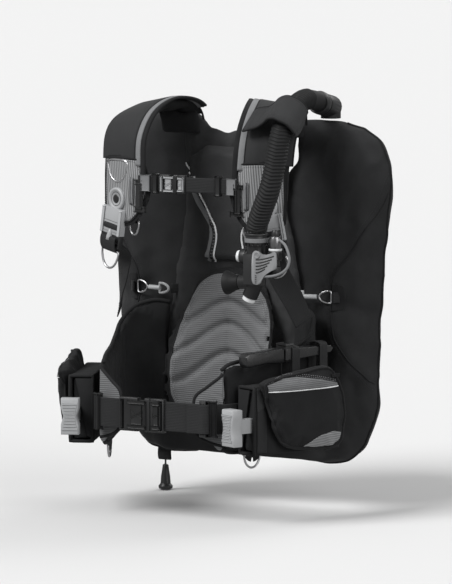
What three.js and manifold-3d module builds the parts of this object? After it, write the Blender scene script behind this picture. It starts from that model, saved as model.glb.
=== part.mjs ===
// Buoyancy compensator vest: a back-inflation air cell on a backplate, with a padded harness.
// Millimetres. X is the wearer's left, -Y the wearer's front, +Z up. The origin is the middle
// of the tank saddle's flat contact face, so the diving cylinder stands at positive Y.

import * as THREE from 'three';
import { mergeVertices } from 'three/addons/utils/BufferGeometryUtils.js';
import Module from 'manifold-3d';

const wasm = await Module();
wasm.setup();

// Driving dimensions
const TANK_RADIUS = 92;
const BAND_THICKNESS = 3;
const BAND_WIDTH = 50;
const WAIST_WEBBING = 50;
const SHOULDER_WEBBING = 38;
const CHEST_WEBBING = 25;
const WEBBING_THICKNESS = 2.4;
const GAP = 0.5;
const STRAP_THICKNESS = 14;
const STRAP_ANGLE = THREE.MathUtils.degToRad(18.4);
const BUCKLE_TILT = THREE.MathUtils.degToRad(10);
const POCKET_ANGLE = THREE.MathUtils.degToRad(-22.5);
const POCKET_CORNER = [123, -266];
const POCKET_LENGTH = 178;
const WAIST_HEIGHT = -163;
const BELT_FRONT = -313;
const CHEST_HEIGHT = 211;
const CHEST_FRONT = -200;
const RING_WIRE = 2.2;
const HOSE_RADIUS = 17.5;
const INFLATOR = [146, -228];

const vest = new THREE.Group();

// ---------- materials ----------

function finish(color, roughness, metalness = 0) {
  return new THREE.MeshStandardMaterial({ color, roughness, metalness });
}

const FABRIC = () => finish(0x222326, 0.9);
const LIGHT_FABRIC = () => finish(0x66686b, 0.9);
const WEBBING = () => finish(0x3f4043, 0.8);
const BLACK_PLASTIC = () => finish(0x1b1c1e, 0.5);
const GREY_PLASTIC = () => finish(0xb9bbbd, 0.5);
const STEEL = () => finish(0xc4c6c8, 0.25, 1);
const RUBBER = () => finish(0x1d1e20, 0.7);

// ---------- geometry helpers ----------

function vec(point) {
  return new THREE.Vector3(point[0], point[1], point[2]);
}

// A closed triangle mesh, turned so that its faces point out.
function closedMesh(points, faces) {
  let volume = 0;
  for (const [a, b, c] of faces) {
    volume += points[a].dot(new THREE.Vector3().crossVectors(points[b], points[c]));
  }
  const ordered = volume < 0 ? faces.map(([a, b, c]) => [a, c, b]) : faces;
  const geometry = new THREE.BufferGeometry();
  const flat = points.flatMap((point) => [point.x, point.y, point.z]);
  geometry.setAttribute('position', new THREE.Float32BufferAttribute(flat, 3));
  geometry.setIndex(ordered.flat());
  return geometry;
}

// A skin over a row of rings with equal point counts, capped at both ends.
function loft(rings, capFaces = null) {
  const count = rings[0].length;
  const points = rings.flat();
  const faces = [];
  for (let row = 0; row < rings.length - 1; row += 1) {
    for (let k = 0; k < count; k += 1) {
      const next = (k + 1) % count;
      const low = row * count;
      const high = low + count;
      faces.push([low + k, low + next, high + next], [low + k, high + next, high + k]);
    }
  }
  const last = (rings.length - 1) * count;
  const caps = capFaces ?? Array.from({ length: count - 2 }, (_, k) => [0, k + 1, k + 2]);
  for (const [a, b, c] of caps) {
    faces.push([a, c, b], [last + a, last + b, last + c]);
  }
  return closedMesh(points, faces);
}

// A closed loop of tube in the XZ plane, for wire rings.
function wireLoop(outline, wire, sides = 6) {
  const points = [];
  const faces = [];
  const count = outline.length;
  for (let k = 0; k < count; k += 1) {
    const before = outline[(k + count - 1) % count];
    const after = outline[(k + 1) % count];
    const tangent = new THREE.Vector2(after[0] - before[0], after[1] - before[1]).normalize();
    for (let side = 0; side < sides; side += 1) {
      const turn = (side / sides) * Math.PI * 2;
      const out = Math.cos(turn) * wire;
      const x = outline[k][0] + tangent.y * out;
      const z = outline[k][1] - tangent.x * out;
      points.push(new THREE.Vector3(x, Math.sin(turn) * wire, z));
      const next = (k + 1) % count;
      const a = k * sides + side;
      const b = k * sides + ((side + 1) % sides);
      const c = next * sides + ((side + 1) % sides);
      const d = next * sides + side;
      faces.push([a, b, c], [a, c, d]);
    }
  }
  return closedMesh(points, faces);
}

// A D-shaped ring hanging from a straight bar on the X axis.
function dRing(width, drop, wire = RING_WIRE) {
  const outline = [[-width / 2, 0], [0, 0], [width / 2, 0]];
  const steps = 9;
  for (let k = 1; k < steps; k += 1) {
    const turn = (k / steps) * Math.PI;
    outline.push([Math.cos(turn) * width / 2, -Math.sin(turn) * drop]);
  }
  return wireLoop(outline, wire);
}

function box(xs, ys, zs) {
  const geometry = new THREE.BoxGeometry(xs[1] - xs[0], ys[1] - ys[0], zs[1] - zs[0]);
  return geometry.translate((xs[0] + xs[1]) / 2, (ys[0] + ys[1]) / 2, (zs[0] + zs[1]) / 2);
}

// A cylinder between two points.
function rod(start, end, radius, sides = 20, endRadius = radius) {
  const from = vec(start);
  const along = vec(end).sub(from);
  const geometry = new THREE.CylinderGeometry(endRadius, radius, along.length(), sides);
  const turn = new THREE.Quaternion();
  turn.setFromUnitVectors(new THREE.Vector3(0, 1, 0), along.clone().normalize());
  geometry.applyQuaternion(turn);
  const middle = from.addScaledVector(along, 0.5);
  return geometry.translate(middle.x, middle.y, middle.z);
}

// A flat sheet with an outline in XZ, between two Y planes.
function plate(outline, ys, bevel = 0, holes = []) {
  const shape = new THREE.Shape(outline.map(([x, z]) => new THREE.Vector2(x, z)));
  for (const hole of holes) {
    shape.holes.push(new THREE.Path(hole.map(([x, z]) => new THREE.Vector2(x, z))));
  }
  const depth = ys[1] - ys[0] - 2 * bevel;
  const geometry = new THREE.ExtrudeGeometry(shape, {
    depth,
    bevelEnabled: bevel > 0,
    bevelSize: bevel,
    bevelOffset: -bevel,
    bevelThickness: bevel,
    bevelSegments: 2,
  });
  return geometry.rotateX(Math.PI / 2).translate(0, ys[1] - bevel, 0);
}

function rectangle(xs, zs) {
  return [[xs[0], zs[0]], [xs[1], zs[0]], [xs[1], zs[1]], [xs[0], zs[1]]];
}

// Both halves of an outline that is given for positive X, from the bottom up.
function bothHalves(half) {
  const mirrored = half.filter(([x]) => x > 0).map(([x, z]) => [-x, z]).reverse();
  return [...half, ...mirrored];
}

// A flat strip through the given stations: middle, direction across, width and thickness.
// The chamfer takes its corners off.
function strip(stations, chamfer = 0) {
  const centres = stations.map((station) => vec(station.at));
  const rings = stations.map((station, index) => {
    const before = centres[Math.max(index - 1, 0)];
    const after = centres[Math.min(index + 1, centres.length - 1)];
    const along = after.clone().sub(before).normalize();
    const across = vec(station.across).normalize();
    const normal = station.normal ? vec(station.normal) : along.clone().cross(across);
    normal.addScaledVector(across, -normal.dot(across)).normalize();
    const halfWidth = station.width / 2;
    const halfThick = station.thick / 2;
    const corners = chamfer > 0
      ? [[halfWidth, chamfer - halfThick], [halfWidth, halfThick - chamfer],
        [halfWidth - chamfer * 2, halfThick], [chamfer * 2 - halfWidth, halfThick],
        [-halfWidth, halfThick - chamfer], [-halfWidth, chamfer - halfThick],
        [chamfer * 2 - halfWidth, -halfThick], [halfWidth - chamfer * 2, -halfThick]]
      : [[halfWidth, -halfThick], [halfWidth, halfThick],
        [-halfWidth, halfThick], [-halfWidth, -halfThick]];
    return corners.map(([u, v]) => centres[index].clone()
      .addScaledVector(across, u).addScaledVector(normal, v));
  });
  return loft(rings);
}

// Webbing of one width through a list of points, with one direction across.
function webbing(points, across, width, thick = WEBBING_THICKNESS) {
  return strip(points.map((at) => ({ at, across, width, thick })));
}

// ---------- joining and cutting ----------

function toSolid(geometry) {
  const bare = geometry.clone();
  bare.deleteAttribute('normal');
  bare.deleteAttribute('uv');
  const merged = mergeVertices(bare, 1e-4);
  return new wasm.Manifold(new wasm.Mesh({
    numProp: 3,
    vertProperties: new Float32Array(merged.attributes.position.array),
    triVerts: new Uint32Array(merged.index.array),
  }));
}

function fromSolid(solid) {
  const mesh = solid.getMesh();
  const geometry = new THREE.BufferGeometry();
  geometry.setAttribute('position', new THREE.BufferAttribute(mesh.vertProperties, 3));
  geometry.setIndex(new THREE.BufferAttribute(mesh.triVerts, 1));
  return geometry;
}

function join(first, ...others) {
  return fromSolid(others.reduce((solid, other) => solid.add(toSolid(other)), toSolid(first)));
}

function cut(first, ...tools) {
  return fromSolid(tools.reduce((solid, tool) => solid.subtract(toSolid(tool)), toSolid(first)));
}

// ---------- placing ----------

function add(group, name, geometry, material, place = null) {
  const mesh = new THREE.Mesh(geometry, material);
  mesh.name = name;
  if (place) {
    mesh.position.set(place[0], place[1], place[2]);
  }
  group.add(mesh);
  return mesh;
}

function turnedGroup(parent, place, turn) {
  const group = new THREE.Group();
  group.position.set(place[0], place[1], place[2]);
  group.rotation.z = turn;
  parent.add(group);
  return group;
}

// ---------- tank side ----------

// The half angle at which a band leaves its flat stretch and meets the cylinder.
function bandOutline(halfFlat, flatY, radius) {
  const reach = Math.hypot(halfFlat, TANK_RADIUS - flatY);
  const start = Math.atan2(halfFlat, TANK_RADIUS - flatY) + Math.acos(radius / reach);
  const outline = [[-halfFlat, flatY], [halfFlat, flatY]];
  const steps = 22;
  for (let k = 0; k <= steps; k += 1) {
    const turn = start + (k / steps) * 2 * (Math.PI - start);
    outline.push([Math.sin(turn) * radius, TANK_RADIUS - Math.cos(turn) * radius]);
  }
  return outline;
}

// A webbing loop round the cylinder, flat where it passes behind the saddle.
function tankLoop(height, middle) {
  const inner = bandOutline(38, -8.5, TANK_RADIUS + GAP);
  const outer = bandOutline(38, -8.5 - BAND_THICKNESS, TANK_RADIUS + GAP + BAND_THICKNESS);
  const shape = new THREE.Shape(outer.map(([x, y]) => new THREE.Vector2(x, y)));
  shape.holes.push(new THREE.Path(inner.map(([x, y]) => new THREE.Vector2(x, y))));
  const geometry = new THREE.ExtrudeGeometry(shape, { depth: height, bevelEnabled: false });
  return geometry.translate(0, 0, middle - height / 2);
}

function buildTankSide() {
  const saddle = new THREE.Shape([
    [-34, -8], [34, -8], [34, -3], [30, 0], [-30, 0], [-34, -3],
  ].map(([x, y]) => new THREE.Vector2(x, y)));
  const saddleBody = new THREE.ExtrudeGeometry(saddle, { depth: 150, bevelEnabled: false });
  add(vest, 'tank_saddle', saddleBody.translate(0, 0, -75), RUBBER());
  add(vest, 'tank_band', tankLoop(BAND_WIDTH, 0), WEBBING());

  const back = 2 * TANK_RADIUS + GAP + BAND_THICKNESS;
  const frame = join(
    box([-26, 34], [back + GAP, back + 6], [-30, 30]),
    box([-26, -6], [back + 5, back + 16], [25, 30]),
    box([-26, -6], [back + 5, back + 16], [-30, -25]),
  );
  add(vest, 'cam_buckle_frame', frame, BLACK_PLASTIC());
  const lever = box([-18, 34], [back + 7.5, back + 14], [-24, 24]);
  add(vest, 'cam_lever', lever, BLACK_PLASTIC());

  const plateOutline = bothHalves([
    [0, -150], [70, -150], [100, -120], [112, -40], [104, 60], [84, 150], [60, 190], [0, 190],
  ]);
  const slots = [-56, 56].map((x) => box([x - 5, x + 5], [-30, -20], [-28, 28]));
  add(vest, 'backplate', cut(plate(plateOutline, [-28.5, -21.5]), ...slots), BLACK_PLASTIC());
}

// ---------- air cell ----------

// Height, half width and fullness of the air cell from its bottom to its top.
const CELL_LEVELS = [
  [-270, 176, 0.35], [-262, 200, 0.7], [-238, 224, 0.95], [-169, 251, 1], [-50, 257, 1],
  [80, 268, 1], [180, 283, 1], [240, 280, 1], [278, 258, 0.9], [300, 230, 0.7], [315, 190, 0.4],
];

function cellRing([height, half, full]) {
  const reach = half - 150;
  const side = [
    [80, -20], [125, -20.5], [150, -22 - 4 * full], [150 + reach * 0.4, -38 * full],
    [150 + reach * 0.8, -26 * full], [half, 8], [150 + reach * 0.85, 40 * full],
    [150 + reach * 0.45, 52 * full], [125, 40 * full], [101, 12 * full], [97, -8], [60, -12],
  ];
  const mirrored = side.map(([x, y]) => [-x, y]).reverse();
  const outline = [[0, -20], ...side, [0, -12], ...mirrored];
  return outline.map(([x, y]) => new THREE.Vector3(x, y, height));
}

function buildAirCell() {
  const rings = CELL_LEVELS.map(cellRing);
  const flat = rings[0].map((point) => new THREE.Vector2(point.x, point.y));
  const caps = THREE.ShapeUtils.triangulateShape(flat, []);
  const neck = plate(bothHalves([[0, 205], [70, 215], [106, 250], [112, 330]]), [-60, 70]);
  add(vest, 'air_cell', cut(loft(rings, caps), neck), FABRIC());

  const valve = new THREE.LatheGeometry([
    [0, 0], [30, 0], [30, 4], [24, 7], [24, 13], [20, 16], [0, 16],
  ].map(([x, y]) => new THREE.Vector2(x, y)), 24);
  add(vest, 'dump_valve', valve, BLACK_PLASTIC(), [-195, 53, -205]);

  const pull = new THREE.LatheGeometry([
    [0, 0], [12, 0], [12.7, 5], [9, 9], [8, 22], [6, 34], [5, 42], [1.6, 43], [1.6, 68], [0, 68],
  ].map(([x, y]) => new THREE.Vector2(x, y)), 16).rotateX(Math.PI / 2);
  add(vest, 'dump_pull', pull, RUBBER(), [-181, 30, -340]);
}

// ---------- back of the harness ----------

const PAD_LEVELS = [
  // height, half width, front of the edge
  [-230, 46, -72], [-208, 92, -88], [-162, 110, -105], [-110, 108, -110], [-68, 103, -106],
  [-27, 98, -80], [0, 89, -67], [42, 68, -59], [56, 44, -60], [63, 24, -61],
];
const PAD_FRONT = -62;
const PAD_BACK = -44.5;

function padRing([height, half, edge]) {
  const steps = 6;
  const front = [];
  const back = [];
  for (let k = -steps; k <= steps; k += 1) {
    const across = k / steps;
    const y = PAD_FRONT + (edge - PAD_FRONT) * Math.abs(across) ** 2.5;
    front.push(new THREE.Vector3(across * half, y, height));
    const depth = 15 - 9 * across ** 4;
    back.push(new THREE.Vector3(across * (half - 2), Math.min(y + depth, PAD_BACK), height));
  }
  return [...front, ...back.reverse()];
}

function buildHarnessBack() {
  const jacket = bothHalves([
    [0, -215], [112, -215], [138, -140], [143, -75], [132, 0], [117, 75], [104, 150],
    [101, 230], [110, 300], [114, 320], [92, 330], [66, 318], [46, 301], [0, 296],
  ]);
  add(vest, 'jacket_back', plate(jacket, [-43.5, -29.5], 3), FABRIC());
  const spine = bothHalves([
    [0, 67], [56, 67], [50, 95], [48, 121], [58, 155], [80, 190], [88, 215], [82, 248],
    [50, 270], [0, 270],
  ]);
  add(vest, 'spine_pad', plate(spine, [-58, -44.5], 4), LIGHT_FABRIC());
  const rings = PAD_LEVELS.map(padRing);
  const flat = rings[0].map((point) => new THREE.Vector2(point.x, point.y));
  const caps = THREE.ShapeUtils.triangulateShape(flat, []);
  add(vest, 'lumbar_pad', loft(rings, caps), LIGHT_FABRIC());
}

// ---------- one side of the harness, made for the wearer's left and mirrored ----------

function shoulderStrap() {
  const stations = [
    { at: [98, -52, 282], across: [1, 0, 0], normal: [0, -1, 0], width: 76, thick: 11 },
    { at: [101, -57, 316], across: [1, 0, -0.05], normal: [0, -0.92, 0.4], width: 80, thick: 12 },
    { at: [110, -77, 334], across: [1, 0.05, -0.12], normal: [0.1, -0.35, 0.93], width: 80 },
    { at: [126, -112, 331], across: [0.96, 0.12, -0.25], normal: [0.22, -0.2, 0.95], width: 80 },
    { at: [138, -148, 314], across: [0.95, 0.22, -0.2], normal: [0.25, -0.75, 0.6], width: 78 },
    { at: [142, -171, 284], across: [0.948, 0.316, -0.05], normal: [0.31, -0.93, 0.18], width: 78 },
    { at: [141, -178, 240], across: [0.949, 0.316, 0], normal: [0.316, -0.949, 0], width: 77 },
    { at: [140, -180, 190], across: [0.949, 0.316, 0], normal: [0.316, -0.949, 0], width: 72 },
    { at: [139.5, -178.5, 152], across: [0.949, 0.316, 0], normal: [0.316, -0.949, 0], width: 44 },
  ];
  stations.reverse();
  return strip(stations.map((station) => ({ thick: STRAP_THICKNESS, ...station })), 3);
}

function cummerbund() {
  // plan position, then the lower and upper edge
  const stations = [
    [120, -54, -200, -4], [148, -64, -205, -2], [174, -84, -212, -12], [184, -112, -218, -34],
    [176, -142, -221, -52], [150, -201, -222, -66], [122, -266, -222, -74], [113, -286, -214, -84],
  ];
  return strip(stations.map(([x, y, low, high]) => ({
    at: [x, y, (low + high) / 2], across: [0, 0, 1], width: high - low, thick: 9,
  })), 2);
}

function buildShoulder(side, suffix) {
  add(side, `shoulder_strap_${suffix}`, shoulderStrap(), FABRIC());
  add(side, `cummerbund_${suffix}`, cummerbund(), FABRIC());

  const hub = turnedGroup(side, [140, -180, 181], STRAP_ANGLE);
  const tilted = new THREE.Group();
  tilted.rotation.y = -BUCKLE_TILT;
  hub.add(tilted);
  const socket = cut(
    join(rod([0, -8, 0], [0, -14, 0], 19, 28), box([-24, 24], [-19, -8], [-60, -15])),
    box([-17, 17], [-16, -11], [-61, -36]),
  );
  add(tilted, `shoulder_buckle_${suffix}`, socket, GREY_PLASTIC());
  const adjuster = join(
    box([-15.5, 15.5], [-15.2, -11.8], [-62, -38]),
    plate(rectangle([-24, 24], [-82, -60.6]), [-18, -9], 0, [rectangle([-20, 20], [-77, -69])]),
  );
  add(tilted, `strap_adjuster_${suffix}`, adjuster, BLACK_PLASTIC());
  add(tilted, `pull_ring_${suffix}`, dRing(44, 34), STEEL(), [0, -13.5, -86]);
  if (suffix === 'right') {
    add(hub, `chest_ring_${suffix}`, dRing(52, 38), STEEL(), [0, -10.5, 66]);
  }
  add(hub, `strap_ring_${suffix}`, dRing(26, 24, 2), STEEL(), [-29, 1, -36]);

  const pullStations = [
    { at: [139.5, -171.5, 103], across: [0.949, 0.316, 0] },
    { at: [152, -158, 60], across: [0.83, 0.55, 0] },
    { at: [168, -140, 20], across: [0.62, 0.78, 0] },
    { at: [179, -126, -17], across: [0.383, 0.922, 0] },
  ];
  const pull = strip(pullStations.map((station) => ({
    ...station, width: SHOULDER_WEBBING, thick: WEBBING_THICKNESS,
  })));
  add(side, `pull_strap_${suffix}`, pull, WEBBING());
}

function buildPockets(side, suffix) {
  const pocket = turnedGroup(side, [POCKET_CORNER[0], POCKET_CORNER[1], 0], POCKET_ANGLE);
  const shell = cut(
    box([20, 60], [0, POCKET_LENGTH], [-222, -108]),
    box([24, 56], [-1, POCKET_LENGTH - 5], [-218, -112]),
  );
  add(pocket, `weight_pocket_${suffix}`, shell, FABRIC());
  add(pocket, `weight_pouch_${suffix}`, box([26, 54], [2, 160], [-216, -114]), FABRIC());
  const grip = plate([
    [37, -203], [67, -203], [67, -186], [63, -172], [67, -158], [67, -142], [37, -142],
    [37, -158], [41, -172], [37, -186],
  ], [-52, -30], 3);
  const handle = join(grip, box([42, 54], [-32, 1.5], [-184, -160]));
  add(pocket, `pouch_handle_${suffix}`, handle, GREY_PLASTIC());

  const face = [
    [0, -100], [15, -135], [28, -180], [52, -212], [100, -221], [150, -223], [171, -210],
    [180, -165], [175, -130], [162, -100], [140, -78], [80, -84], [20, -92],
  ];
  const bag = plate(face, [-79.5, -60.5], 6).rotateZ(Math.PI / 2);
  add(pocket, `cargo_pocket_${suffix}`, bag, FABRIC());

  const ringMount = new THREE.Group();
  ringMount.position.set(-1, 41, -227);
  ringMount.rotation.z = Math.PI / 2;
  pocket.add(ringMount);
  add(ringMount, `waist_ring_${suffix}`, dRing(34, 24), STEEL());
  return pocket;
}

function buildTrim(side, suffix) {
  const clip = turnedGroup(side, [120, -62, 19], THREE.MathUtils.degToRad(11));
  const hook = join(
    dRing(17, 20, 2.4).rotateY(Math.PI / 2),
    rod([-1, 0, 0], [24, 0, 0], 4, 12),
  ).translate(20, 0, 0);
  add(clip, `trim_hook_${suffix}`, hook, BLACK_PLASTIC());
  const ring = dRing(22, 22, 2).rotateY(Math.PI / 2);
  add(clip, `trim_ring_${suffix}`, ring, BLACK_PLASTIC(), [70, 0, 0]);
}

function buildWaistWebbing(side, suffix, start) {
  const points = [
    [start, BELT_FRONT], [104, -312], [118, -302], [129, -285], [134.5, -270], [146, -243],
  ].map(([x, y]) => [x, y, WAIST_HEIGHT]);
  add(side, `waist_webbing_${suffix}`, webbing(points, [0, 0, 1], WAIST_WEBBING), WEBBING());
}

// The chest webbing ends in an upright rail that slides on the shoulder strap's edge.
function buildChestWebbing(side, suffix, start) {
  const middle = CHEST_FRONT;
  const half = WEBBING_THICKNESS / 2;
  const heights = [CHEST_HEIGHT - CHEST_WEBBING / 2, CHEST_HEIGHT + CHEST_WEBBING / 2];
  const belt = box([start, 116], [middle - half, middle + half], heights);
  const rail = box([103, 111], [middle - 4, middle + 3], [CHEST_HEIGHT - 22, CHEST_HEIGHT + 22]);
  add(side, `chest_webbing_${suffix}`, join(belt, rail), WEBBING());
}

// ---------- buckles ----------

// A side-release buckle along X: the socket's bar end, its mouth, and the end of the other half.
function sideRelease(xs, front, middle, height, thick, names) {
  const [barEnd, mouth, farEnd] = xs;
  const low = middle - height / 2;
  const high = middle + height / 2;
  const ys = [front - thick / 2, front + thick / 2];
  const inset = height * 0.1;
  const depth = (mouth - barEnd) * 0.55;
  const slit = thick * 0.28;
  const barHole = rectangle([barEnd + 3, barEnd + 9], [low + 4, high - 4]);
  const cavity = box([mouth - depth, mouth + 1], [front - slit, front + slit],
    [low + inset, high - inset]);
  const sideCut = (sign) => box([mouth - depth * 0.72, mouth - depth * 0.3],
    [ys[0] - 1, ys[1] + 1], sign > 0 ? [high - inset, high + 1] : [low - 1, low + inset]);
  const socketOutline = [
    [barEnd, low + 2], [barEnd + 2, low], [mouth - 2, low], [mouth, low + 2],
    [mouth, high - 2], [mouth - 2, high], [barEnd + 2, high], [barEnd, high - 2],
  ];
  const socket = cut(plate(socketOutline, ys, 1, [barHole]), cavity, sideCut(1), sideCut(-1));
  add(vest, names[0], socket, BLACK_PLASTIC());

  const start = mouth + GAP * 2;
  const frame = plate(rectangle([start, farEnd], [low, high]), ys, 1,
    [rectangle([farEnd - 9, farEnd - 3], [low + 4, high - 4])]);
  const tongue = box([mouth - depth + 1, start + 3], [front - slit + 0.6, front + slit - 0.6],
    [low + inset + 1, high - inset - 1]);
  add(vest, names[1], join(frame, tongue), BLACK_PLASTIC());
}

function buildBuckles() {
  sideRelease([-64, -5, 21], BELT_FRONT, WAIST_HEIGHT, 56, 12, ['waist_socket', 'waist_tongue']);
  sideRelease([-54, -21, -5], CHEST_FRONT, CHEST_HEIGHT, 31, 9, ['chest_socket', 'chest_tongue']);
  const slide = cut(
    box([89, 101], [BELT_FRONT - 4.5, BELT_FRONT + 5.5], [WAIST_HEIGHT - 30, WAIST_HEIGHT + 30]),
    box([88, 102], [BELT_FRONT - 2.2, BELT_FRONT + 5], [WAIST_HEIGHT - 25.6, WAIST_HEIGHT + 25.6]),
  );
  add(vest, 'waist_slide', slide, BLACK_PLASTIC());
}

// ---------- knife on the wearer's left pocket ----------

function buildKnife(pocket) {
  const mount = new THREE.Group();
  mount.position.set(27, 0, -68);
  mount.rotation.x = THREE.MathUtils.degToRad(3.5);
  pocket.add(mount);
  const profile = (points, width) => plate(points, [-width / 2, width / 2], 2)
    .rotateZ(Math.PI / 2);
  const sheath = cut(
    profile([[82, -11], [176, -6], [181, 0], [176, 5], [82, 11]], 26),
    box([-3.5, 3.5], [80, 170], [-7, 4]),
  );
  add(mount, 'knife_sheath', sheath, BLACK_PLASTIC());
  const handle = profile([
    [0, -6], [4, -11], [40, -9], [70, -12], [80, -12], [80, 12], [70, 12], [38, 11], [6, 12],
    [0, 7],
  ], 22);
  const blade = box([-1.8, 1.8], [76, 165], [-6, 3]);
  add(mount, 'knife', join(handle, blade), RUBBER());
}

// ---------- hose and inflator on the wearer's left ----------

const HOSE_ROUTE = [
  [146.5, -227.5, 142], [148, -227, 156], [157, -226, 180], [169, -224, 213], [173, -214, 250],
  [174, -193, 306], [171, -153, 338], [168, -111, 352], [164, -71, 351], [163, -36, 342],
];

function buildHose() {
  const curve = new THREE.CatmullRomCurve3(HOSE_ROUTE.map(vec));
  const section = new THREE.Shape();
  section.absarc(0, 0, HOSE_RADIUS, 0, Math.PI * 2);
  const hose = new THREE.ExtrudeGeometry(section, {
    extrudePath: curve, steps: 18, curveSegments: 6, bevelEnabled: false,
  });
  add(vest, 'corrugated_hose', hose, RUBBER());

  const knee = new THREE.SphereGeometry(19, 16, 10).translate(160, 0, 335);
  const elbow = join(knee, rod([160, 0, 315.6], [160, 0, 335], 17), rod([160, 0, 335],
    [162.6, -34.5, 341.4], 19));
  add(vest, 'shoulder_elbow', elbow, BLACK_PLASTIC());

  const along = [-0.05, 0.82, 0.56];
  const flapLine = [
    [105, -172, 322], [130, -175, 324], [146, -184, 331], [159, -191, 340], [174, -190, 344],
    [191, -181, 336], [197, -171, 321], [194, -161, 306],
  ];
  add(vest, 'hose_flap', webbing(flapLine, along, 62, 3), FABRIC());
}

function buildInflator() {
  const [x, y] = INFLATOR;
  const body = join(
    rod([x, y, 54], [x, y, 122], 16, 24),
    rod([x, y, 120], [x, y, 139], 17.6, 24),
    box([x - 14, x + 14], [y - 19, y], [56, 106]),
    rod([x, y, 100], [x - 26, y, 100], 12.5, 20),
    rod([x, y, 60], [x - 30, y, 57], 12, 20),
    rod([x, y, 76], [x + 38, y, 76], 9, 16),
    rod([x + 36, y, 70], [x + 36, y, 86], 9.5, 16),
    rod([x, y, 60], [x - 12, y, 34], 13, 20),
  );
  // both buttons sink into a recess of their own boss
  const down = (distance) => [x - 12 - 0.419 * distance, y, 34 - 0.908 * distance];
  const bored = cut(
    body,
    rod([x - 21.5, y, 100], [x - 27, y, 100], 10.4, 20),
    rod(down(-4.5), down(1), 11.5, 20),
  );
  add(vest, 'inflator_body', bored, BLACK_PLASTIC());
  const button = rod([x - 25.3, y, 100], [x - 34, y, 100], 9.8, 20);
  add(vest, 'inflate_button', button, GREY_PLASTIC());
  add(vest, 'deflate_button', rod(down(-1), down(7.6), 10.9, 20), GREY_PLASTIC());

  const mouth = new THREE.LatheGeometry([
    [6, 0], [12, 0], [13, 8], [17, 16], [20.5, 25], [18, 25], [12, 14], [8, 6],
    [6, 0],
  ].map(([radius, height]) => new THREE.Vector2(radius, height)), 24).rotateZ(Math.PI / 2);
  const lips = add(vest, 'mouthpiece', mouth, RUBBER(), [x - 31, y, 57]);
  lips.rotation.y = -0.09;

  const coupling = new THREE.LatheGeometry([
    [0, 0], [8, 0], [8, 12], [9.5, 14], [9.5, 28], [8, 30], [8, 46], [5, 52], [0, 52],
  ].map(([radius, height]) => new THREE.Vector2(radius, height)), 20).rotateX(Math.PI / 2);
  add(vest, 'gas_coupling', coupling, STEEL(), [x + 36, y, 87]);
}

// ---------- assembly ----------

buildTankSide();
buildAirCell();
buildHarnessBack();
for (const [suffix, sign] of [['left', 1], ['right', -1]]) {
  const side = new THREE.Group();
  side.scale.x = sign;
  vest.add(side);
  buildShoulder(side, suffix);
  const pocket = buildPockets(side, suffix);
  buildTrim(side, suffix);
  buildWaistWebbing(side, suffix, sign > 0 ? 53 : 65);
  buildChestWebbing(side, suffix, sign > 0 ? 22 : 55);
  if (sign > 0) {
    buildKnife(pocket);
  }
}
buildBuckles();
buildHose();
buildInflator();

export default vest;
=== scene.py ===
"""Looks for the buoyancy compensator vest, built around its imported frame. Metres."""

import math

import bmesh
import bpy
import numpy as np
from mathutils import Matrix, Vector, noise
from mathutils.bvhtree import BVHTree


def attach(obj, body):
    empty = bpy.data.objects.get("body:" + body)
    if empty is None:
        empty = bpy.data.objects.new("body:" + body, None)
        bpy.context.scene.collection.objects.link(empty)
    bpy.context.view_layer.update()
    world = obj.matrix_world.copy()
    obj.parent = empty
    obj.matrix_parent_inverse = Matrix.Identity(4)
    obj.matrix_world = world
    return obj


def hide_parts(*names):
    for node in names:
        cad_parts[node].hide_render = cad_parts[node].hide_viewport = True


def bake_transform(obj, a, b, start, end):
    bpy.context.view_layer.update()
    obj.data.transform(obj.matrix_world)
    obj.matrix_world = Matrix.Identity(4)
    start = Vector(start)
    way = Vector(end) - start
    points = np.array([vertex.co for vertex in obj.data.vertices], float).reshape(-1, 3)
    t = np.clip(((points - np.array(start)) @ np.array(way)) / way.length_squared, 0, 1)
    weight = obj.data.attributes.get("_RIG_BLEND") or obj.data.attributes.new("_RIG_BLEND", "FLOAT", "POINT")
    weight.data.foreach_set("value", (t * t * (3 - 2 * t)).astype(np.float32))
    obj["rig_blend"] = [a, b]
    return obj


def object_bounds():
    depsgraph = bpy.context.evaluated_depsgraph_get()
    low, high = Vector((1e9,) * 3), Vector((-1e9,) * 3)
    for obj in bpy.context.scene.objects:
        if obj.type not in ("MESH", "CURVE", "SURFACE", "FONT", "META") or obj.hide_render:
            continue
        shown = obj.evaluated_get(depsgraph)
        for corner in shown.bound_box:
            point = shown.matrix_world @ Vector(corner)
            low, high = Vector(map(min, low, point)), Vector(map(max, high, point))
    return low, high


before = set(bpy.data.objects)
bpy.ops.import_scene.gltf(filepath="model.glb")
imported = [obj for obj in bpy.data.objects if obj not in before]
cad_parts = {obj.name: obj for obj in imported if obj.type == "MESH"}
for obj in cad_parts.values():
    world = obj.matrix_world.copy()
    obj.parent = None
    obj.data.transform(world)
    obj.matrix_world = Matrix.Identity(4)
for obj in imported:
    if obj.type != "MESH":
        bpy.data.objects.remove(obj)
CAD_BOX = [list(corner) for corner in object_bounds()]
SCENE = bpy.context.scene
MM = 0.001
SIDES = {"left": 1, "right": -1}

# ---------------------------------------------------------------- camera, light and floor

VIEW_TURN = math.radians(30)
VIEW_TILT = math.radians(6)
IMAGE_WIDTH = 452
METRES_PER_DOT = 0.0017
CAMERA_DISTANCE = 9.0


def look_at(obj, target):
    direction = Vector(target) - obj.location
    obj.rotation_euler = direction.to_track_quat("-Z", "Y").to_euler()


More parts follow.
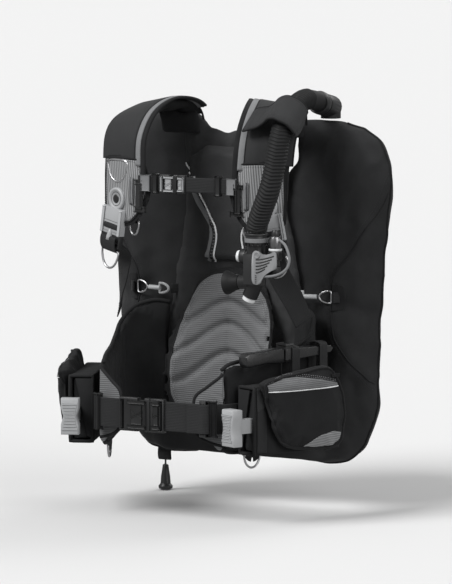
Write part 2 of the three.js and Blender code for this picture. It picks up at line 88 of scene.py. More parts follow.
def make_camera():
    data = bpy.data.cameras.new("camera")
    camera = bpy.data.objects.new("camera", data)
    SCENE.collection.objects.link(camera)
    back = Vector((
        math.sin(VIEW_TURN) * math.cos(VIEW_TILT),
        -math.cos(VIEW_TURN) * math.cos(VIEW_TILT),
        math.sin(VIEW_TILT),
    ))
    across = Vector((math.cos(VIEW_TURN), math.sin(VIEW_TURN), 0))
    up = back.cross(across)
    # the object's origin sits right of the picture's middle and a little below it
    middle = across * -22 * METRES_PER_DOT + up * 8 * METRES_PER_DOT
    camera.location = middle + back * CAMERA_DISTANCE
    look_at(camera, middle)
    data.sensor_fit = "HORIZONTAL"
    data.sensor_width = 36
    view_width = IMAGE_WIDTH * METRES_PER_DOT
    data.lens = data.sensor_width * CAMERA_DISTANCE / view_width
    data.clip_end = 200
    data.dof.use_dof = False
    SCENE.camera = camera


# direction towards each light, its strength and its spread in degrees
LIGHTS = {
    "key": ((-0.55, -1.0, 1.05), 2.8, 30),
    "side": ((1.0, -0.35, 0.45), 1.3, 45),
    "rim": ((0.25, 1.0, 0.9), 0.9, 40),
}
FLOOR_TONE = 0.9
ROOM_TONE = 0.33


def make_studio():
    """Broad even lights in a dim room, over a pale floor that throws no light back up."""
    floor_light = ROOM_TONE
    for name, (towards, strength, spread) in LIGHTS.items():
        towards = Vector(towards).normalized()
        data = bpy.data.lights.new(name, "SUN")
        data.energy = strength
        data.angle = math.radians(spread)
        light = bpy.data.objects.new(name, data)
        light.location = towards * 3
        SCENE.collection.objects.link(light)
        look_at(light, (0, 0, 0))
        floor_light += strength * towards.z / math.pi
    world = bpy.data.worlds.new("studio")
    world.use_nodes = True
    background = world.node_tree.nodes["Background"]
    background.inputs["Color"].default_value = (1, 1, 1, 1)
    background.inputs["Strength"].default_value = ROOM_TONE
    SCENE.world = world
    SCENE.view_settings.view_transform = "Standard"
    floor = new_mesh("floor", *floor_sheet())
    tone = FLOOR_TONE / floor_light
    paint, _, _ = new_material("floor_paint", (tone, tone, tone), 1.0, specular=0.0)
    floor.data.materials.append(paint)
    floor.visible_diffuse = False
    floor.visible_glossy = False


def floor_sheet():
    lowest = CAD_BOX[0][2] - 0.002
    half = 60.0
    corners = [(-half, -half), (half, -half), (half, half), (-half, half)]
    return [(x, y, lowest) for x, y in corners], [(0, 1, 2, 3)]


# ---------------------------------------------------------------- meshes

def new_mesh(name, points, faces, smooth=True):
    data = bpy.data.meshes.new(name)
    data.from_pydata([tuple(p) for p in points], [], [tuple(f) for f in faces])
    data.validate()
    data.update()
    obj = bpy.data.objects.new(name, data)
    SCENE.collection.objects.link(obj)
    if smooth:
        data.polygons.foreach_set("use_smooth", [True] * len(data.polygons))
    return obj


def from_bmesh(name, mesh):
    """A new object that takes over a bmesh."""
    data = bpy.data.meshes.new(name)
    mesh.to_mesh(data)
    mesh.free()
    obj = bpy.data.objects.new(name, data)
    SCENE.collection.objects.link(obj)
    return obj


def ring_faces(rows, sides, closed=False):
    """Faces between rings of points, with an end face at each end of an open run."""
    faces = []
    for row in range(rows if closed else rows - 1):
        low, high = row * sides, ((row + 1) % rows) * sides
        for k in range(sides):
            after = (k + 1) % sides
            faces.append((low + k, low + after, high + after, high + k))
    if not closed:
        faces.append(tuple(reversed(range(sides))))
        faces.append(tuple(range((rows - 1) * sides, rows * sides)))
    return faces


def outward(obj):
    """Turns a closed mesh's faces outward."""
    mesh = bmesh.new()
    mesh.from_mesh(obj.data)
    bmesh.ops.recalc_face_normals(mesh, faces=mesh.faces)
    mesh.to_mesh(obj.data)
    mesh.free()
    return obj


def copy_node(name, node):
    """A new piece with a CAD node's shape, welded."""
    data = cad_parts[node].data.copy()
    data.materials.clear()
    obj = bpy.data.objects.new(name, data)
    SCENE.collection.objects.link(obj)
    mesh = bmesh.new()
    mesh.from_mesh(data)
    bmesh.ops.remove_doubles(mesh, verts=mesh.verts, dist=1e-6)
    mesh.to_mesh(data)
    mesh.free()
    for attribute in list(data.attributes):
        if attribute.name.startswith("custom_normal"):
            data.attributes.remove(attribute)
    data.polygons.foreach_set("use_smooth", [True] * len(data.polygons))
    return obj


def apply_modifiers(obj):
    graph = bpy.context.evaluated_depsgraph_get()
    data = bpy.data.meshes.new_from_object(obj.evaluated_get(graph))
    obj.modifiers.clear()
    obj.data = data
    data.polygons.foreach_set("use_smooth", [True] * len(data.polygons))
    return obj


def remesh(obj, voxel):
    modifier = obj.modifiers.new("voxels", "REMESH")
    modifier.mode = "VOXEL"
    modifier.voxel_size = voxel
    modifier.use_smooth_shade = True
    return apply_modifiers(obj)


def smooth(obj, rounds, factor=0.5):
    modifier = obj.modifiers.new("smooth", "SMOOTH")
    modifier.iterations = rounds
    modifier.factor = factor
    return apply_modifiers(obj)


def subdivide(obj, levels=1):
    modifier = obj.modifiers.new("subdivision", "SUBSURF")
    modifier.levels = levels
    modifier.render_levels = levels
    return apply_modifiers(obj)


def get_points(obj):
    points = np.empty(len(obj.data.vertices) * 3)
    obj.data.vertices.foreach_get("co", points)
    return points.reshape(-1, 3)


def get_normals(obj):
    normals = np.empty(len(obj.data.vertices) * 3)
    obj.data.vertex_normals.foreach_get("vector", normals)
    return normals.reshape(-1, 3)


def set_points(obj, points):
    obj.data.vertices.foreach_set("co", np.ascontiguousarray(points).ravel())
    obj.data.update()


def inflate(obj, pressure, cap, frames=20):
    """Swells a closed skin with a short cloth run, and keeps every point within cap."""
    before = get_points(obj)
    cloth = obj.modifiers.new("cloth", "CLOTH")
    settings = cloth.settings
    settings.use_pressure = True
    settings.uniform_pressure_force = pressure
    settings.effector_weights.gravity = 0
    settings.quality = 4
    settings.tension_stiffness = 12
    settings.compression_stiffness = 12
    settings.bending_stiffness = 0.4
    cloth.point_cache.frame_start = 1
    cloth.point_cache.frame_end = frames
    for number in range(1, frames + 1):
        SCENE.frame_set(number)
    apply_modifiers(obj)
    SCENE.frame_set(1)
    after = get_points(obj)
    move = after - before
    reach = np.linalg.norm(move, axis=1, keepdims=True)
    set_points(obj, before + move * np.minimum(1, cap / np.maximum(reach, 1e-9)))
    return obj


def wrinkle(obj, size, depth, seed=0.0, stretch=(1, 1, 1), mask=None):
    """Moves points along their normals by ridged noise, as slack cloth creases."""
    points = get_points(obj)
    normals = get_normals(obj)
    amount = np.empty(len(points))
    for index, point in enumerate(points):
        place = Vector((point[0] * stretch[0], point[1] * stretch[1], point[2] * stretch[2]))
        place = place / size + Vector((seed, seed * 0.7, seed * 1.3))
        ridge = 1 - abs(noise.noise(place)) * 2
        amount[index] = ridge * 0.7 + noise.noise(place * 2.1) * 0.3
    amount = amount - amount.mean()
    if mask is not None:
        amount = amount * mask(points)
    set_points(obj, points + normals * (amount * depth)[:, None])
    return obj


def surface(*objects):
    """A ray-casting tree over finished pieces."""
    points, faces = [], []
    graph = bpy.context.evaluated_depsgraph_get()
    for obj in objects:
        shown = obj.evaluated_get(graph)
        mesh = shown.to_mesh()
        start = len(points)
        points += [obj.matrix_world @ vertex.co for vertex in mesh.vertices]
        faces += [[start + index for index in face.vertices] for face in mesh.polygons]
        shown.to_mesh_clear()
    return BVHTree.FromPolygons(points, faces)


class Plane:
    """A flat drawing frame in millimetres: origin, two directions and the way out."""

    def __init__(self, origin, right, up, side=1):
        mirror = Vector((side, 1, 1))
        self.origin = Vector(origin) * MM * mirror
        self.right = (Vector(right) * mirror).normalized()
        up = Vector(up) * mirror
        self.up = (up - self.right * up.dot(self.right)).normalized()
        self.out = self.right.cross(self.up) * side

    def at(self, u, v, w=0.0):
        return self.origin + (self.right * u + self.up * v + self.out * w) * MM

    def mm(self, u, v, w=0.0):
        return self.at(u, v, w) / MM

    def drop(self, tree, u, v, lift=0.0, reach=0.12):
        """The point (u, v) laid on the surface below it, lifted by lift millimetres."""
        start = self.at(u, v) + self.out * reach
        hit, normal, _, _ = tree.ray_cast(start, -self.out, 0.6)
        if hit is None:
            return None, None
        if normal.dot(self.out) < 0:
            normal = -normal
        return hit + self.out * lift * MM, normal


def resample(points, step):
    """Evenly spaced points along a polyline given in any dimension."""
    points = np.array(points, float)
    lengths = np.linalg.norm(np.diff(points, axis=0), axis=1)
    total = np.concatenate([[0], np.cumsum(lengths)])
    count = max(int(round(total[-1] / step)), 2)
    marks = np.linspace(0, total[-1], count + 1)
    return np.stack([np.interp(marks, total, points[:, k]) for k in range(points.shape[1])], 1)


def spline(points, step):
    """A smooth curve through the points, resampled evenly."""
    points = np.array(points, float)
    padded = np.vstack([2 * points[0] - points[1], points, 2 * points[-1] - points[-2]])
    curve = []
    for a, b, c, d in zip(padded, padded[1:], padded[2:], padded[3:]):
        for t in np.linspace(0, 1, 12, endpoint=False):
            curve.append(0.5 * (2 * b + (c - a) * t + (2 * a - 5 * b + 4 * c - d) * t ** 2
                                + (3 * b - a - 3 * c + d) * t ** 3))
    curve.append(points[-1])
    return resample(curve, step)


# ---------------------------------------------------------------- drawn details

def tube(name, points, radius, sides=8, closed=False):
    """A round tube along points, with rounded closed ends."""
    points = [Vector(p) for p in points]
    count = len(points)
    rings = []
    normal = None
    for index, point in enumerate(points):
        if closed:
            ahead, behind = points[(index + 1) % count], points[index - 1]
        else:
            ahead, behind = points[min(index + 1, count - 1)], points[max(index - 1, 0)]
        along = (ahead - behind).normalized()
        if normal is None:
            normal = along.orthogonal().normalized()
        normal = (normal - along * normal.dot(along)).normalized()
        side = along.cross(normal)
        for k in range(sides):
            turn = 2 * math.pi * k / sides
            rings.append(point + (normal * math.cos(turn) + side * math.sin(turn)) * radius)
    return new_mesh(name, rings, ring_faces(count, sides, closed))


def section_sweep(name, stations, section, closed_path=False):
    """Sweeps a closed section, a list of (across, out) in mm, along stations of
    (point, across, out), and notes each point's run and place across, in mm."""
    sides = len(section)
    points, runs, widths = [], [], []
    run = 0.0
    for index, (point, across, out) in enumerate(stations):
        if index:
            run += (point - stations[index - 1][0]).length / MM
        for u, v in section:
            points.append(point + (across * u + out * v) * MM)
            runs.append(run)
            widths.append(u)
    obj = new_mesh(name, points, ring_faces(len(stations), sides, closed_path))
    for key, values in (("run", runs), ("across", widths)):
        obj.data.attributes.new(key, "FLOAT", "POINT").data.foreach_set("value", values)
    return outward(obj)


def webbing_section(width, thick=2.2):
    """A flat section with rounded selvedges and a slightly fuller middle."""
    half, t = width / 2, thick / 2
    upper = [(-half, 0), (-half + 0.4, t * 0.7), (-half + 1.4, t * 0.95), (-half + 3.5, t * 0.8),
             (-half * 0.4, t), (half * 0.4, t), (half - 3.5, t * 0.8), (half - 1.4, t * 0.95),
             (half - 0.4, t * 0.7), (half, 0)]
    lower = [(u, -v) for u, v in reversed(upper[1:-1])]
    return upper + lower


def webbing(name, points, across, width, thick=2.2, step=4.0):
    """Webbing through points in mm; across is one direction, or one for each point."""
    points = np.array(points, float)
    if np.ndim(across) == 1:
        across = [across] * len(points)
    rows = spline(np.hstack([points, np.array(across, float)]), step)
    stations = []
    for index, row in enumerate(rows):
        ahead = rows[min(index + 1, len(rows) - 1)][:3]
        behind = rows[max(index - 1, 0)][:3]
        along = Vector(ahead - behind).normalized()
        wide = Vector(row[3:]).normalized()
        wide = (wide - along * wide.dot(along)).normalized()
        stations.append((Vector(row[:3]) * MM, wide, wide.cross(along)))
    return section_sweep(name, stations, webbing_section(width, thick))


def cut_panel(outline, cell):
    """A flat panel in mm, cut to an outline and into cells, and its rim's points."""
    mesh = bmesh.new()
    outline = resample(list(outline) + [outline[0]], cell)[:-1]
    mesh.faces.new([mesh.verts.new((u, v, 0)) for u, v in outline])
    bmesh.ops.triangulate(mesh, faces=mesh.faces)
    lows, highs = outline.min(0), outline.max(0)
    for axis, direction in enumerate(((1, 0, 0), (0, 1, 0))):
        for cutline in np.arange(lows[axis] + cell, highs[axis], cell):
            bmesh.ops.bisect_plane(mesh, geom=mesh.verts[:] + mesh.edges[:] + mesh.faces[:],
                                   plane_co=Vector(direction) * cutline, plane_no=direction)
    bmesh.ops.remove_doubles(mesh, verts=mesh.verts, dist=0.05)
    return mesh, np.array([(v.co.x, v.co.y) for v in mesh.verts if v.is_boundary])


def thickened(name, mesh, out, thick):
    """A sheet turned to face out, with its thickness in mm below it."""
    bmesh.ops.recalc_face_normals(mesh, faces=mesh.faces)
    if sum(face.normal.dot(out) for face in mesh.faces) < 0:
        bmesh.ops.reverse_faces(mesh, faces=mesh.faces)
    obj = from_bmesh(name, mesh)
    modifier = obj.modifiers.new("thickness", "SOLIDIFY")
    modifier.thickness = thick * MM
    modifier.offset = -1
    return apply_modifiers(obj)


def patch(name, outline, plane, tree, thick=1.2, cell=4.0, lift=0.3):
    """A cloth panel cut to an outline in the plane's mm and laid on a surface."""
    mesh, _ = cut_panel(outline, cell)
    lost = []
    for vert in mesh.verts:
        point, _ = plane.drop(tree, vert.co.x, vert.co.y, lift + thick)
        if point is None:
            lost.append(vert)
        else:
            vert.co = point
    bmesh.ops.delete(mesh, geom=lost, context="VERTS")
    return thickened(name, mesh, plane.out, thick)


def laid(line, plane, tree, lift=0.5, step=3.0, closed=False):
    """A line in the plane's mm, laid on a surface."""
    points = list(line) + ([line[0]] if closed else [])
    marks = spline(points, step)
    found = [plane.drop(tree, u, v, lift)[0] for u, v in marks]
    found = [point for point in found if point is not None]
    return found[:-1] if closed else found


def cord_on(name, line, plane, tree, radius=1.2, lift=0.6, closed=False):
    """Piping or binding along a line on a surface; radius and lift in mm."""
    return tube(name, laid(line, plane, tree, lift, 3.0, closed), radius * MM, 8, closed)


def tape_on(name, line, plane, tree, width, thick=1.0, lift=0.4, step=4.0):
    """Flat tape along a line on a surface."""
    marks = spline(line, step)
    stations = []
    for index, (u, v) in enumerate(marks):
        point, normal = plane.drop(tree, u, v, lift + thick / 2)
        if point is None:
            continue
        ahead = marks[min(index + 1, len(marks) - 1)]
        behind = marks[max(index - 1, 0)]
        along = (plane.right * (ahead[0] - behind[0]) + plane.up * (ahead[1] - behind[1]))
        along = (along - normal * along.dot(normal)).normalized()
        stations.append((point, normal.cross(along).normalized(), normal))
    half, t = width / 2, thick / 2
    section = [(-half, -t), (half, -t), (half, t * 0.3), (half - 0.5, t), (-half + 0.5, t),
               (-half, t * 0.3)]
    return section_sweep(name, stations, section)


def stitches(name, line, plane, tree, lift=0.35, length=2.6, gap=1.4, radius=0.42, closed=False):
    """A run of thread stitches along a line on a surface, as one piece."""
    points = list(line) + ([line[0]] if closed else [])
    marks = spline(points, (length + gap) / 2)
    all_points, all_faces = [], []
    for index in range(0, len(marks) - 1, 2):
        ends = [plane.drop(tree, *marks[index + k], lift)[0] for k in (0, 1)]
        if None in ends:
            continue
        middle = (ends[0] + ends[1]) / 2
        share = length / (length + gap)
        start, end = (middle + (point - middle) * share * 1.3 for point in ends)
        along = (end - start).normalized()
        side = along.cross(plane.out).normalized()
        rise = side.cross(along)
        base = len(all_points)
        for t, size in ((0, 0.4), (0.25, 1), (0.75, 1), (1, 0.4)):
            centre = start.lerp(end, t)
            for k in range(5):
                turn = 2 * math.pi * k / 5
                offset = (side * math.cos(turn) + rise * math.sin(turn)) * radius * size * MM
                all_points.append(centre + offset)
        for row in range(3):
            for k in range(5):
                low = base + row * 5
                after = (k + 1) % 5
                all_faces.append((low + k, low + after, low + 5 + after, low + 5 + k))
        all_faces.append(tuple(base + k for k in reversed(range(5))))
        all_faces.append(tuple(base + 15 + k for k in range(5)))
    return new_mesh(name, all_points, all_faces)


def lathe(name, profile, place, axis, segments=48):
    """A turned piece: profile of (radius, height) in mm, closed at the axis, along axis."""
    axis = Vector(axis).normalized()
    turn = axis.to_track_quat("Z", "Y").to_matrix()
    points = []
    for radius, height in profile:
        for k in range(segments):
            angle = 2 * math.pi * k / segments
            local = Vector((radius * math.cos(angle), radius * math.sin(angle), height))
            points.append(Vector(place) * MM + turn @ local * MM)
    return outward(new_mesh(name, points, ring_faces(len(profile), segments)))


def block(name, size, place, right=(1, 0, 0), up=(0, 0, 1), bevel=1.0, segments=3):
    """A rounded block: size in mm along right, out and up."""
    right, up = Vector(right).normalized(), Vector(up).normalized()
    out = right.cross(up)
    mesh = bmesh.new()
    bmesh.ops.create_cube(mesh, size=1)
    for vert in mesh.verts:
        x, y, z = vert.co
        vert.co = Vector(place) * MM + (right * x * size[0] + out * y * size[1]
                                        + up * z * size[2]) * MM
    if bevel:
        bmesh.ops.bevel(mesh, geom=mesh.edges[:] + mesh.verts[:], offset=bevel * MM,
                        segments=segments, profile=0.5, affect="EDGES")
    bmesh.ops.recalc_face_normals(mesh, faces=mesh.faces)
    return from_bmesh(name, mesh)


def prism(outline, plane, low, high):
    """An outline in the plane's mm, drawn out from low to high, and its top face."""
    mesh = bmesh.new()
    rings = [[mesh.verts.new(plane.at(u, v, w)) for u, v in outline] for w in (low, high)]
    mesh.faces.new(list(reversed(rings[0])))
    top = mesh.faces.new(rings[1])
    for k in range(len(outline)):
        after = (k + 1) % len(outline)
        mesh.faces.new((rings[0][k], rings[0][after], rings[1][after], rings[1][k]))
    return mesh, top


def bevelled(name, mesh, edges, width, segments):
    """A prism with some of its edges rounded."""
    bmesh.ops.bevel(mesh, geom=edges, offset=width * MM, segments=segments, profile=0.5,
                    affect="EDGES")
    bmesh.ops.recalc_face_normals(mesh, faces=mesh.faces)
    return from_bmesh(name, mesh)


def flat_plate(name, outline, plane, thick, bevel):
    """A flat rounded plate cut to an outline in a plane."""
    mesh, top = prism(spline(list(outline) + [outline[0]], 2.5)[:-1], plane, 0, thick)
    return bevelled(name, mesh, list(top.edges), bevel, 3)


def fused(name, objects):
    """Several meshes as one piece."""
    mesh = bmesh.new()
    for obj in objects:
        mesh.from_mesh(obj.data)
        bpy.data.objects.remove(obj)
    return from_bmesh(name, mesh)


def grip_ring(name, count, size, centre, radius, segments=3):
    """Small rounded blocks in a ring round an upright axis, as one piece; all in mm."""
    blocks = []
    for k in range(count):
        turn = 2 * math.pi * k / count
        way = Vector((math.cos(turn), math.sin(turn), 0))
        blocks.append(block(f"grip_{k}", size, centre + way * radius, (-way.y, way.x, 0), (0, 0, 1),
                            0.5, segments))
    return fused(name, blocks)


def piece(obj, material, body="root", replaces=(), slot=None, sharp=None):
    """Gives a piece its material and its body; its slot, which follows from the material, is worked out but
    not kept.
    """
    obj.data.materials.clear()
    obj.data.materials.append(material)
    if sharp is not None:
        obj.data.shade_smooth()
        modifier = obj.modifiers.new("edges", "EDGE_SPLIT")
        modifier.split_angle = math.radians(sharp)
        modifier.use_edge_sharp = False
    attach(obj, body)
    if replaces:
        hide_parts(*replaces)
    slot = slot or SLOT_OF[material.name]
    return obj


# ---------------------------------------------------------------- materials

def new_material(name, colour, roughness, metallic=0.0, sheen=0.0, coat=0.0, specular=0.5):
    """A principled material; returns it with its node tree and shader."""
    material = bpy.data.materials.new(name)
    material.use_nodes = True
    tree = material.node_tree
    shader = tree.nodes["Principled BSDF"]
    shader.inputs["Base Color"].default_value = (*colour, 1)
    shader.inputs["Roughness"].default_value = roughness
    shader.inputs["Metallic"].default_value = metallic
    shader.inputs["Sheen Weight"].default_value = sheen
    shader.inputs["Sheen Roughness"].default_value = 0.6
    shader.inputs["Coat Weight"].default_value = coat
    shader.inputs["Specular IOR Level"].default_value = specular
    material.diffuse_color = (*colour, 1)
    return material, tree, shader


class Graph:
    """Short ways to add nodes to one material."""

    def __init__(self, tree):
        self.tree = tree
        self.place = self.add("ShaderNodeTexCoord").outputs["Object"]

    def add(self, kind, **settings):
        node = self.tree.nodes.new(kind)
        for key, value in settings.items():
            setattr(node, key, value)
        return node

    def link(self, output, socket):
        self.tree.links.new(output, socket)

    def maths(self, operation, first, second=None):
        node = self.add("ShaderNodeMath", operation=operation)
        for value, socket in zip((first, second), node.inputs):
            if value is None:
                continue
            if isinstance(value, (int, float)):
                socket.default_value = value
            else:
                self.link(value, socket)
        return node.outputs[0]

    def noise(self, size, detail=3.0, rough=0.55, stretch=(1, 1, 1)):
        """Cloudy noise from 0 to 1 with features of about size metres."""
        scaled = self.add("ShaderNodeMapping")
        scaled.inputs["Scale"].default_value = [value / size for value in stretch]
        self.link(self.place, scaled.inputs["Vector"])
        node = self.add("ShaderNodeTexNoise")
        node.inputs["Scale"].default_value = 1.0
        node.inputs["Detail"].default_value = detail
        node.inputs["Roughness"].default_value = rough
        self.link(scaled.outputs[0], node.inputs["Vector"])
        return node.outputs["Fac"]

    def stripes(self, direction, pitch, source=None, sharp=1.0):
        """Waves from 0 to 1 along a direction, one for each pitch in metres."""
        if source is None:
            dot = self.add("ShaderNodeVectorMath", operation="DOT_PRODUCT")
            dot.inputs[1].default_value = Vector(direction).normalized()
            self.link(self.place, dot.inputs[0])
            source = dot.outputs["Value"]
        wave = self.maths("SINE", self.maths("MULTIPLY", source, 2 * math.pi / pitch))
        return self.maths("POWER", self.half(wave), sharp)

    def half(self, wave):
        """A wave from -1..1 as 0..1."""
        node = self.add("ShaderNodeMath", operation="MULTIPLY_ADD")
        self.link(wave, node.inputs[0])
        node.inputs[1].default_value = 0.5
        node.inputs[2].default_value = 0.5
        return node.outputs[0]

    def run(self, attribute):
        node = self.add("ShaderNodeAttribute", attribute_name=attribute)
        return node.outputs["Fac"]

    def mix(self, factor, first, second):
        node = self.add("ShaderNodeMix", data_type="RGBA")
        self.link(factor, node.inputs["Factor"])
        for value, socket in ((first, node.inputs[6]), (second, node.inputs[7])):
            if isinstance(value, tuple):
                socket.default_value = (*value, 1)
            else:
                self.link(value, socket)
        return node.outputs[2]

    def ramp(self, factor, low, high):
        node = self.add("ShaderNodeMapRange")
        node.inputs["To Min"].default_value = low
        node.inputs["To Max"].default_value = high
        self.link(factor, node.inputs["Value"])
        return node.outputs["Result"]

    def bump(self, height, distance, strength=1.0, below=None):
        node = self.add("ShaderNodeBump")
        node.inputs["Distance"].default_value = distance
        node.inputs["Strength"].default_value = strength
        self.link(height, node.inputs["Height"])
        if below is not None:
            self.link(below, node.inputs["Normal"])
        return node.outputs["Normal"]

    def edges(self, low=0.5, high=0.62):
        """Worn ridges, where the surface bends outward."""
        node = self.add("ShaderNodeNewGeometry")
        ramp = self.add("ShaderNodeMapRange")
        ramp.inputs["From Min"].default_value = low
        ramp.inputs["From Max"].default_value = high
        self.link(node.outputs["Pointiness"], ramp.inputs["Value"])
        return ramp.outputs["Result"]


def scaled(colour, factor):
    return tuple(min(1.0, value * factor) for value in colour)


def woven(name, colour, pitch=0.0012, depth=0.00025, roughness=0.72, sheen=0.03, contrast=0.3):
    """Plain-weave pack cloth: crossed threads, faint mottling and lint."""
    material, tree, shader = new_material(name, colour, roughness, sheen=sheen, specular=0.07)
    g = Graph(tree)
    warp = g.stripes((1, 0.35, 0.05), pitch)
    weft = g.stripes((-0.05, 0.3, 1), pitch)
    weave = g.maths("MULTIPLY", warp, weft)
    mottle = g.noise(0.035, 4)
    lint = g.noise(0.0016, 2)
    tone = g.mix(mottle, scaled(colour, 1 - contrast), scaled(colour, 1 + contrast))
    thread = g.mix(weave, tone, scaled(colour, 1.5))
    g.link(thread, shader.inputs["Base Color"])
    g.link(g.ramp(lint, roughness - 0.1, roughness + 0.12), shader.inputs["Roughness"])
    coarse = g.bump(g.noise(0.009, 3), 0.0006, 0.6)
    g.link(g.bump(weave, depth, 0.8, coarse), shader.inputs["Normal"])
    return material


def ribbed(name, colour, direction, pitch, depth=0.0006, dark=0.55, sheen=0.03, cross=None):
    """Corded mesh cloth: raised ribs along one direction with a fine cross thread."""
    material, tree, shader = new_material(name, colour, 0.7, sheen=sheen, specular=0.1)
    g = Graph(tree)
    ribs = g.stripes(direction, pitch, sharp=0.8)
    thread = g.stripes(cross or (0.4, 0.5, 1), pitch * 0.45)
    weave = g.maths("MULTIPLY", ribs, g.ramp(thread, 0.7, 1.0))
    mottle = g.noise(0.03, 4)
    tone = g.mix(mottle, scaled(colour, 0.85), scaled(colour, 1.1))
    g.link(g.mix(weave, scaled(colour, dark), tone), shader.inputs["Base Color"])
    g.link(g.ramp(mottle, 0.62, 0.8), shader.inputs["Roughness"])
    g.link(g.bump(weave, depth, 0.9), shader.inputs["Normal"])
    return material


def webbing_material(name, colour):
    """Woven nylon webbing: ribs across its run, lanes along it and a herringbone of thread."""
    material, tree, shader = new_material(name, colour, 0.55, sheen=0.03, specular=0.12)
    g = Graph(tree)
    run = g.run("run")
    across = g.run("across")
    ribs = g.stripes(None, 1.9, run)
    lanes = g.stripes(None, 2.6, across)
    slant = g.stripes(None, 1.3, g.maths("ADD", run, across))
    weave = g.maths("MULTIPLY", g.maths("MAXIMUM", ribs, lanes), g.ramp(slant, 0.75, 1.0))
    mottle = g.noise(0.02, 3)
    tone = g.mix(mottle, scaled(colour, 0.85), scaled(colour, 1.15))
    g.link(g.mix(weave, scaled(colour, 0.5), tone), shader.inputs["Base Color"])
    g.link(g.ramp(weave, 0.7, 0.48), shader.inputs["Roughness"])
    g.link(g.bump(weave, 0.0005, 0.8), shader.inputs["Normal"])
    return material


def moulded(name, colour, roughness=0.42, wear=1.6, grain=0.0008, depth=0.00008, coat=0.0):
    """Moulded plastic: fine grain, paler worn edges and faint handling marks."""
    material, tree, shader = new_material(name, colour, roughness, coat=coat)
    shader.inputs["Coat Roughness"].default_value = 0.3
    g = Graph(tree)
    marks = g.noise(0.012, 5, 0.6)
    fine = g.noise(grain, 2)
    tone = g.mix(marks, scaled(colour, 0.9), scaled(colour, 1.1))
    g.link(g.mix(g.edges(), tone, scaled(colour, wear)), shader.inputs["Base Color"])
    g.link(g.ramp(marks, roughness - 0.08, roughness + 0.12), shader.inputs["Roughness"])
    g.link(g.bump(fine, depth, 0.7), shader.inputs["Normal"])
    return material


def steel_material(name, tone=1.0):
    """Drawn stainless steel: fine brushing and faint stains."""
    colour = scaled((0.62, 0.63, 0.64), tone)
    material, tree, shader = new_material(name, colour, 0.3, metallic=1.0)
    g = Graph(tree)
    brushing = g.noise(0.0012, 3, 0.6, stretch=(1, 1, 0.12))
    stain = g.noise(0.014, 4)
    stained = g.mix(stain, scaled((0.5, 0.5, 0.51), tone), scaled((0.72, 0.72, 0.73), tone))
    g.link(stained, shader.inputs["Base Color"])
    g.link(g.ramp(brushing, 0.2, 0.42), shader.inputs["Roughness"])
    g.link(g.bump(brushing, 0.00006, 0.6), shader.inputs["Normal"])
    return material


def rubber_material(name, colour, roughness=0.6):
    """Soft rubber: dusty bloom, fine pits and a dull sheen."""
    material, tree, shader = new_material(name, colour, roughness, sheen=0.02, specular=0.25)
    g = Graph(tree)
    bloom = g.noise(0.018, 4)
    pits = g.noise(0.0011, 2)
    g.link(g.mix(bloom, scaled(colour, 0.8), scaled(colour, 1.35)), shader.inputs["Base Color"])
    g.link(g.ramp(bloom, roughness - 0.1, roughness + 0.15), shader.inputs["Roughness"])
    g.link(g.bump(pits, 0.0001, 0.7), shader.inputs["Normal"])
    return material


BLACK_CLOTH = woven("black_pack_cloth", (0.0165, 0.0168, 0.0174), contrast=0.36)
WING_CLOTH = woven("wing_cloth", (0.0235, 0.0238, 0.0246), pitch=0.0010, roughness=0.6, contrast=0.34)
LINING = woven("lining_cloth", (0.0420, 0.0425, 0.0435), pitch=0.0008, roughness=0.8, contrast=0.40)
SMOOTH_CLOTH = woven("smooth_cloth", (0.034, 0.0345, 0.0355), pitch=0.0007, roughness=0.55, contrast=0.15)
BINDING = woven("binding_tape", (0.0165, 0.0167, 0.0173), pitch=0.0018, depth=0.0003, roughness=0.62)
GREY_MESH = ribbed("grey_spacer_mesh", (0.20, 0.203, 0.208), (0, 0.2, 1), 0.0034, dark=0.62)
GREY_TRIM = woven("grey_trim_cloth", (0.19, 0.193, 0.198), pitch=0.0014, roughness=0.6, contrast=0.15)
PALE_MESH = ribbed("pale_drain_mesh", (0.36, 0.365, 0.372), (0.35, 0.1, 1), 0.003, dark=0.45)
PALE_RIB = ribbed("pale_corded_mesh", (0.40, 0.405, 0.412), (1, 0, 0.08), 0.0042, dark=0.3)
PANEL_GREY = woven("panel_grey_cloth", (0.05, 0.051, 0.052), pitch=0.0013, roughness=0.6)
WEBBING = webbing_material("black_webbing", (0.030, 0.0305, 0.0315))
PIPING = woven("silver_piping", (0.78, 0.79, 0.8), pitch=0.0012, roughness=0.4, contrast=0.1)
THREAD = woven("pale_thread", (0.3, 0.3, 0.31), pitch=0.0006, roughness=0.5, contrast=0.12)
DARK_THREAD = woven("dark_thread", (0.035, 0.035, 0.037), pitch=0.0006, roughness=0.5, contrast=0.12)
BLACK_PLASTIC = moulded("black_moulding", (0.012, 0.0122, 0.0126), 0.38, wear=2.2)
GLOSS_PLASTIC = moulded("glossy_black_moulding", (0.009, 0.0092, 0.0096), 0.24, wear=2.0, coat=0.35)
PLATE_PLASTIC = moulded("slate_moulding", (0.2, 0.203, 0.208), 0.45, wear=1.3)
GREY_PLASTIC = moulded("grey_moulding", (0.35, 0.356, 0.363), 0.42, wear=1.25)
WHITE_PLASTIC = moulded("white_moulding", (0.72, 0.73, 0.74), 0.36, wear=1.1)
STEEL = steel_material("stainless_steel")
DULL_STEEL = steel_material("dull_steel", 0.4)
RUBBER = rubber_material("black_rubber", (0.010, 0.0102, 0.0106))
GREY_RUBBER = rubber_material("grey_rubber", (0.17, 0.173, 0.178), 0.55)
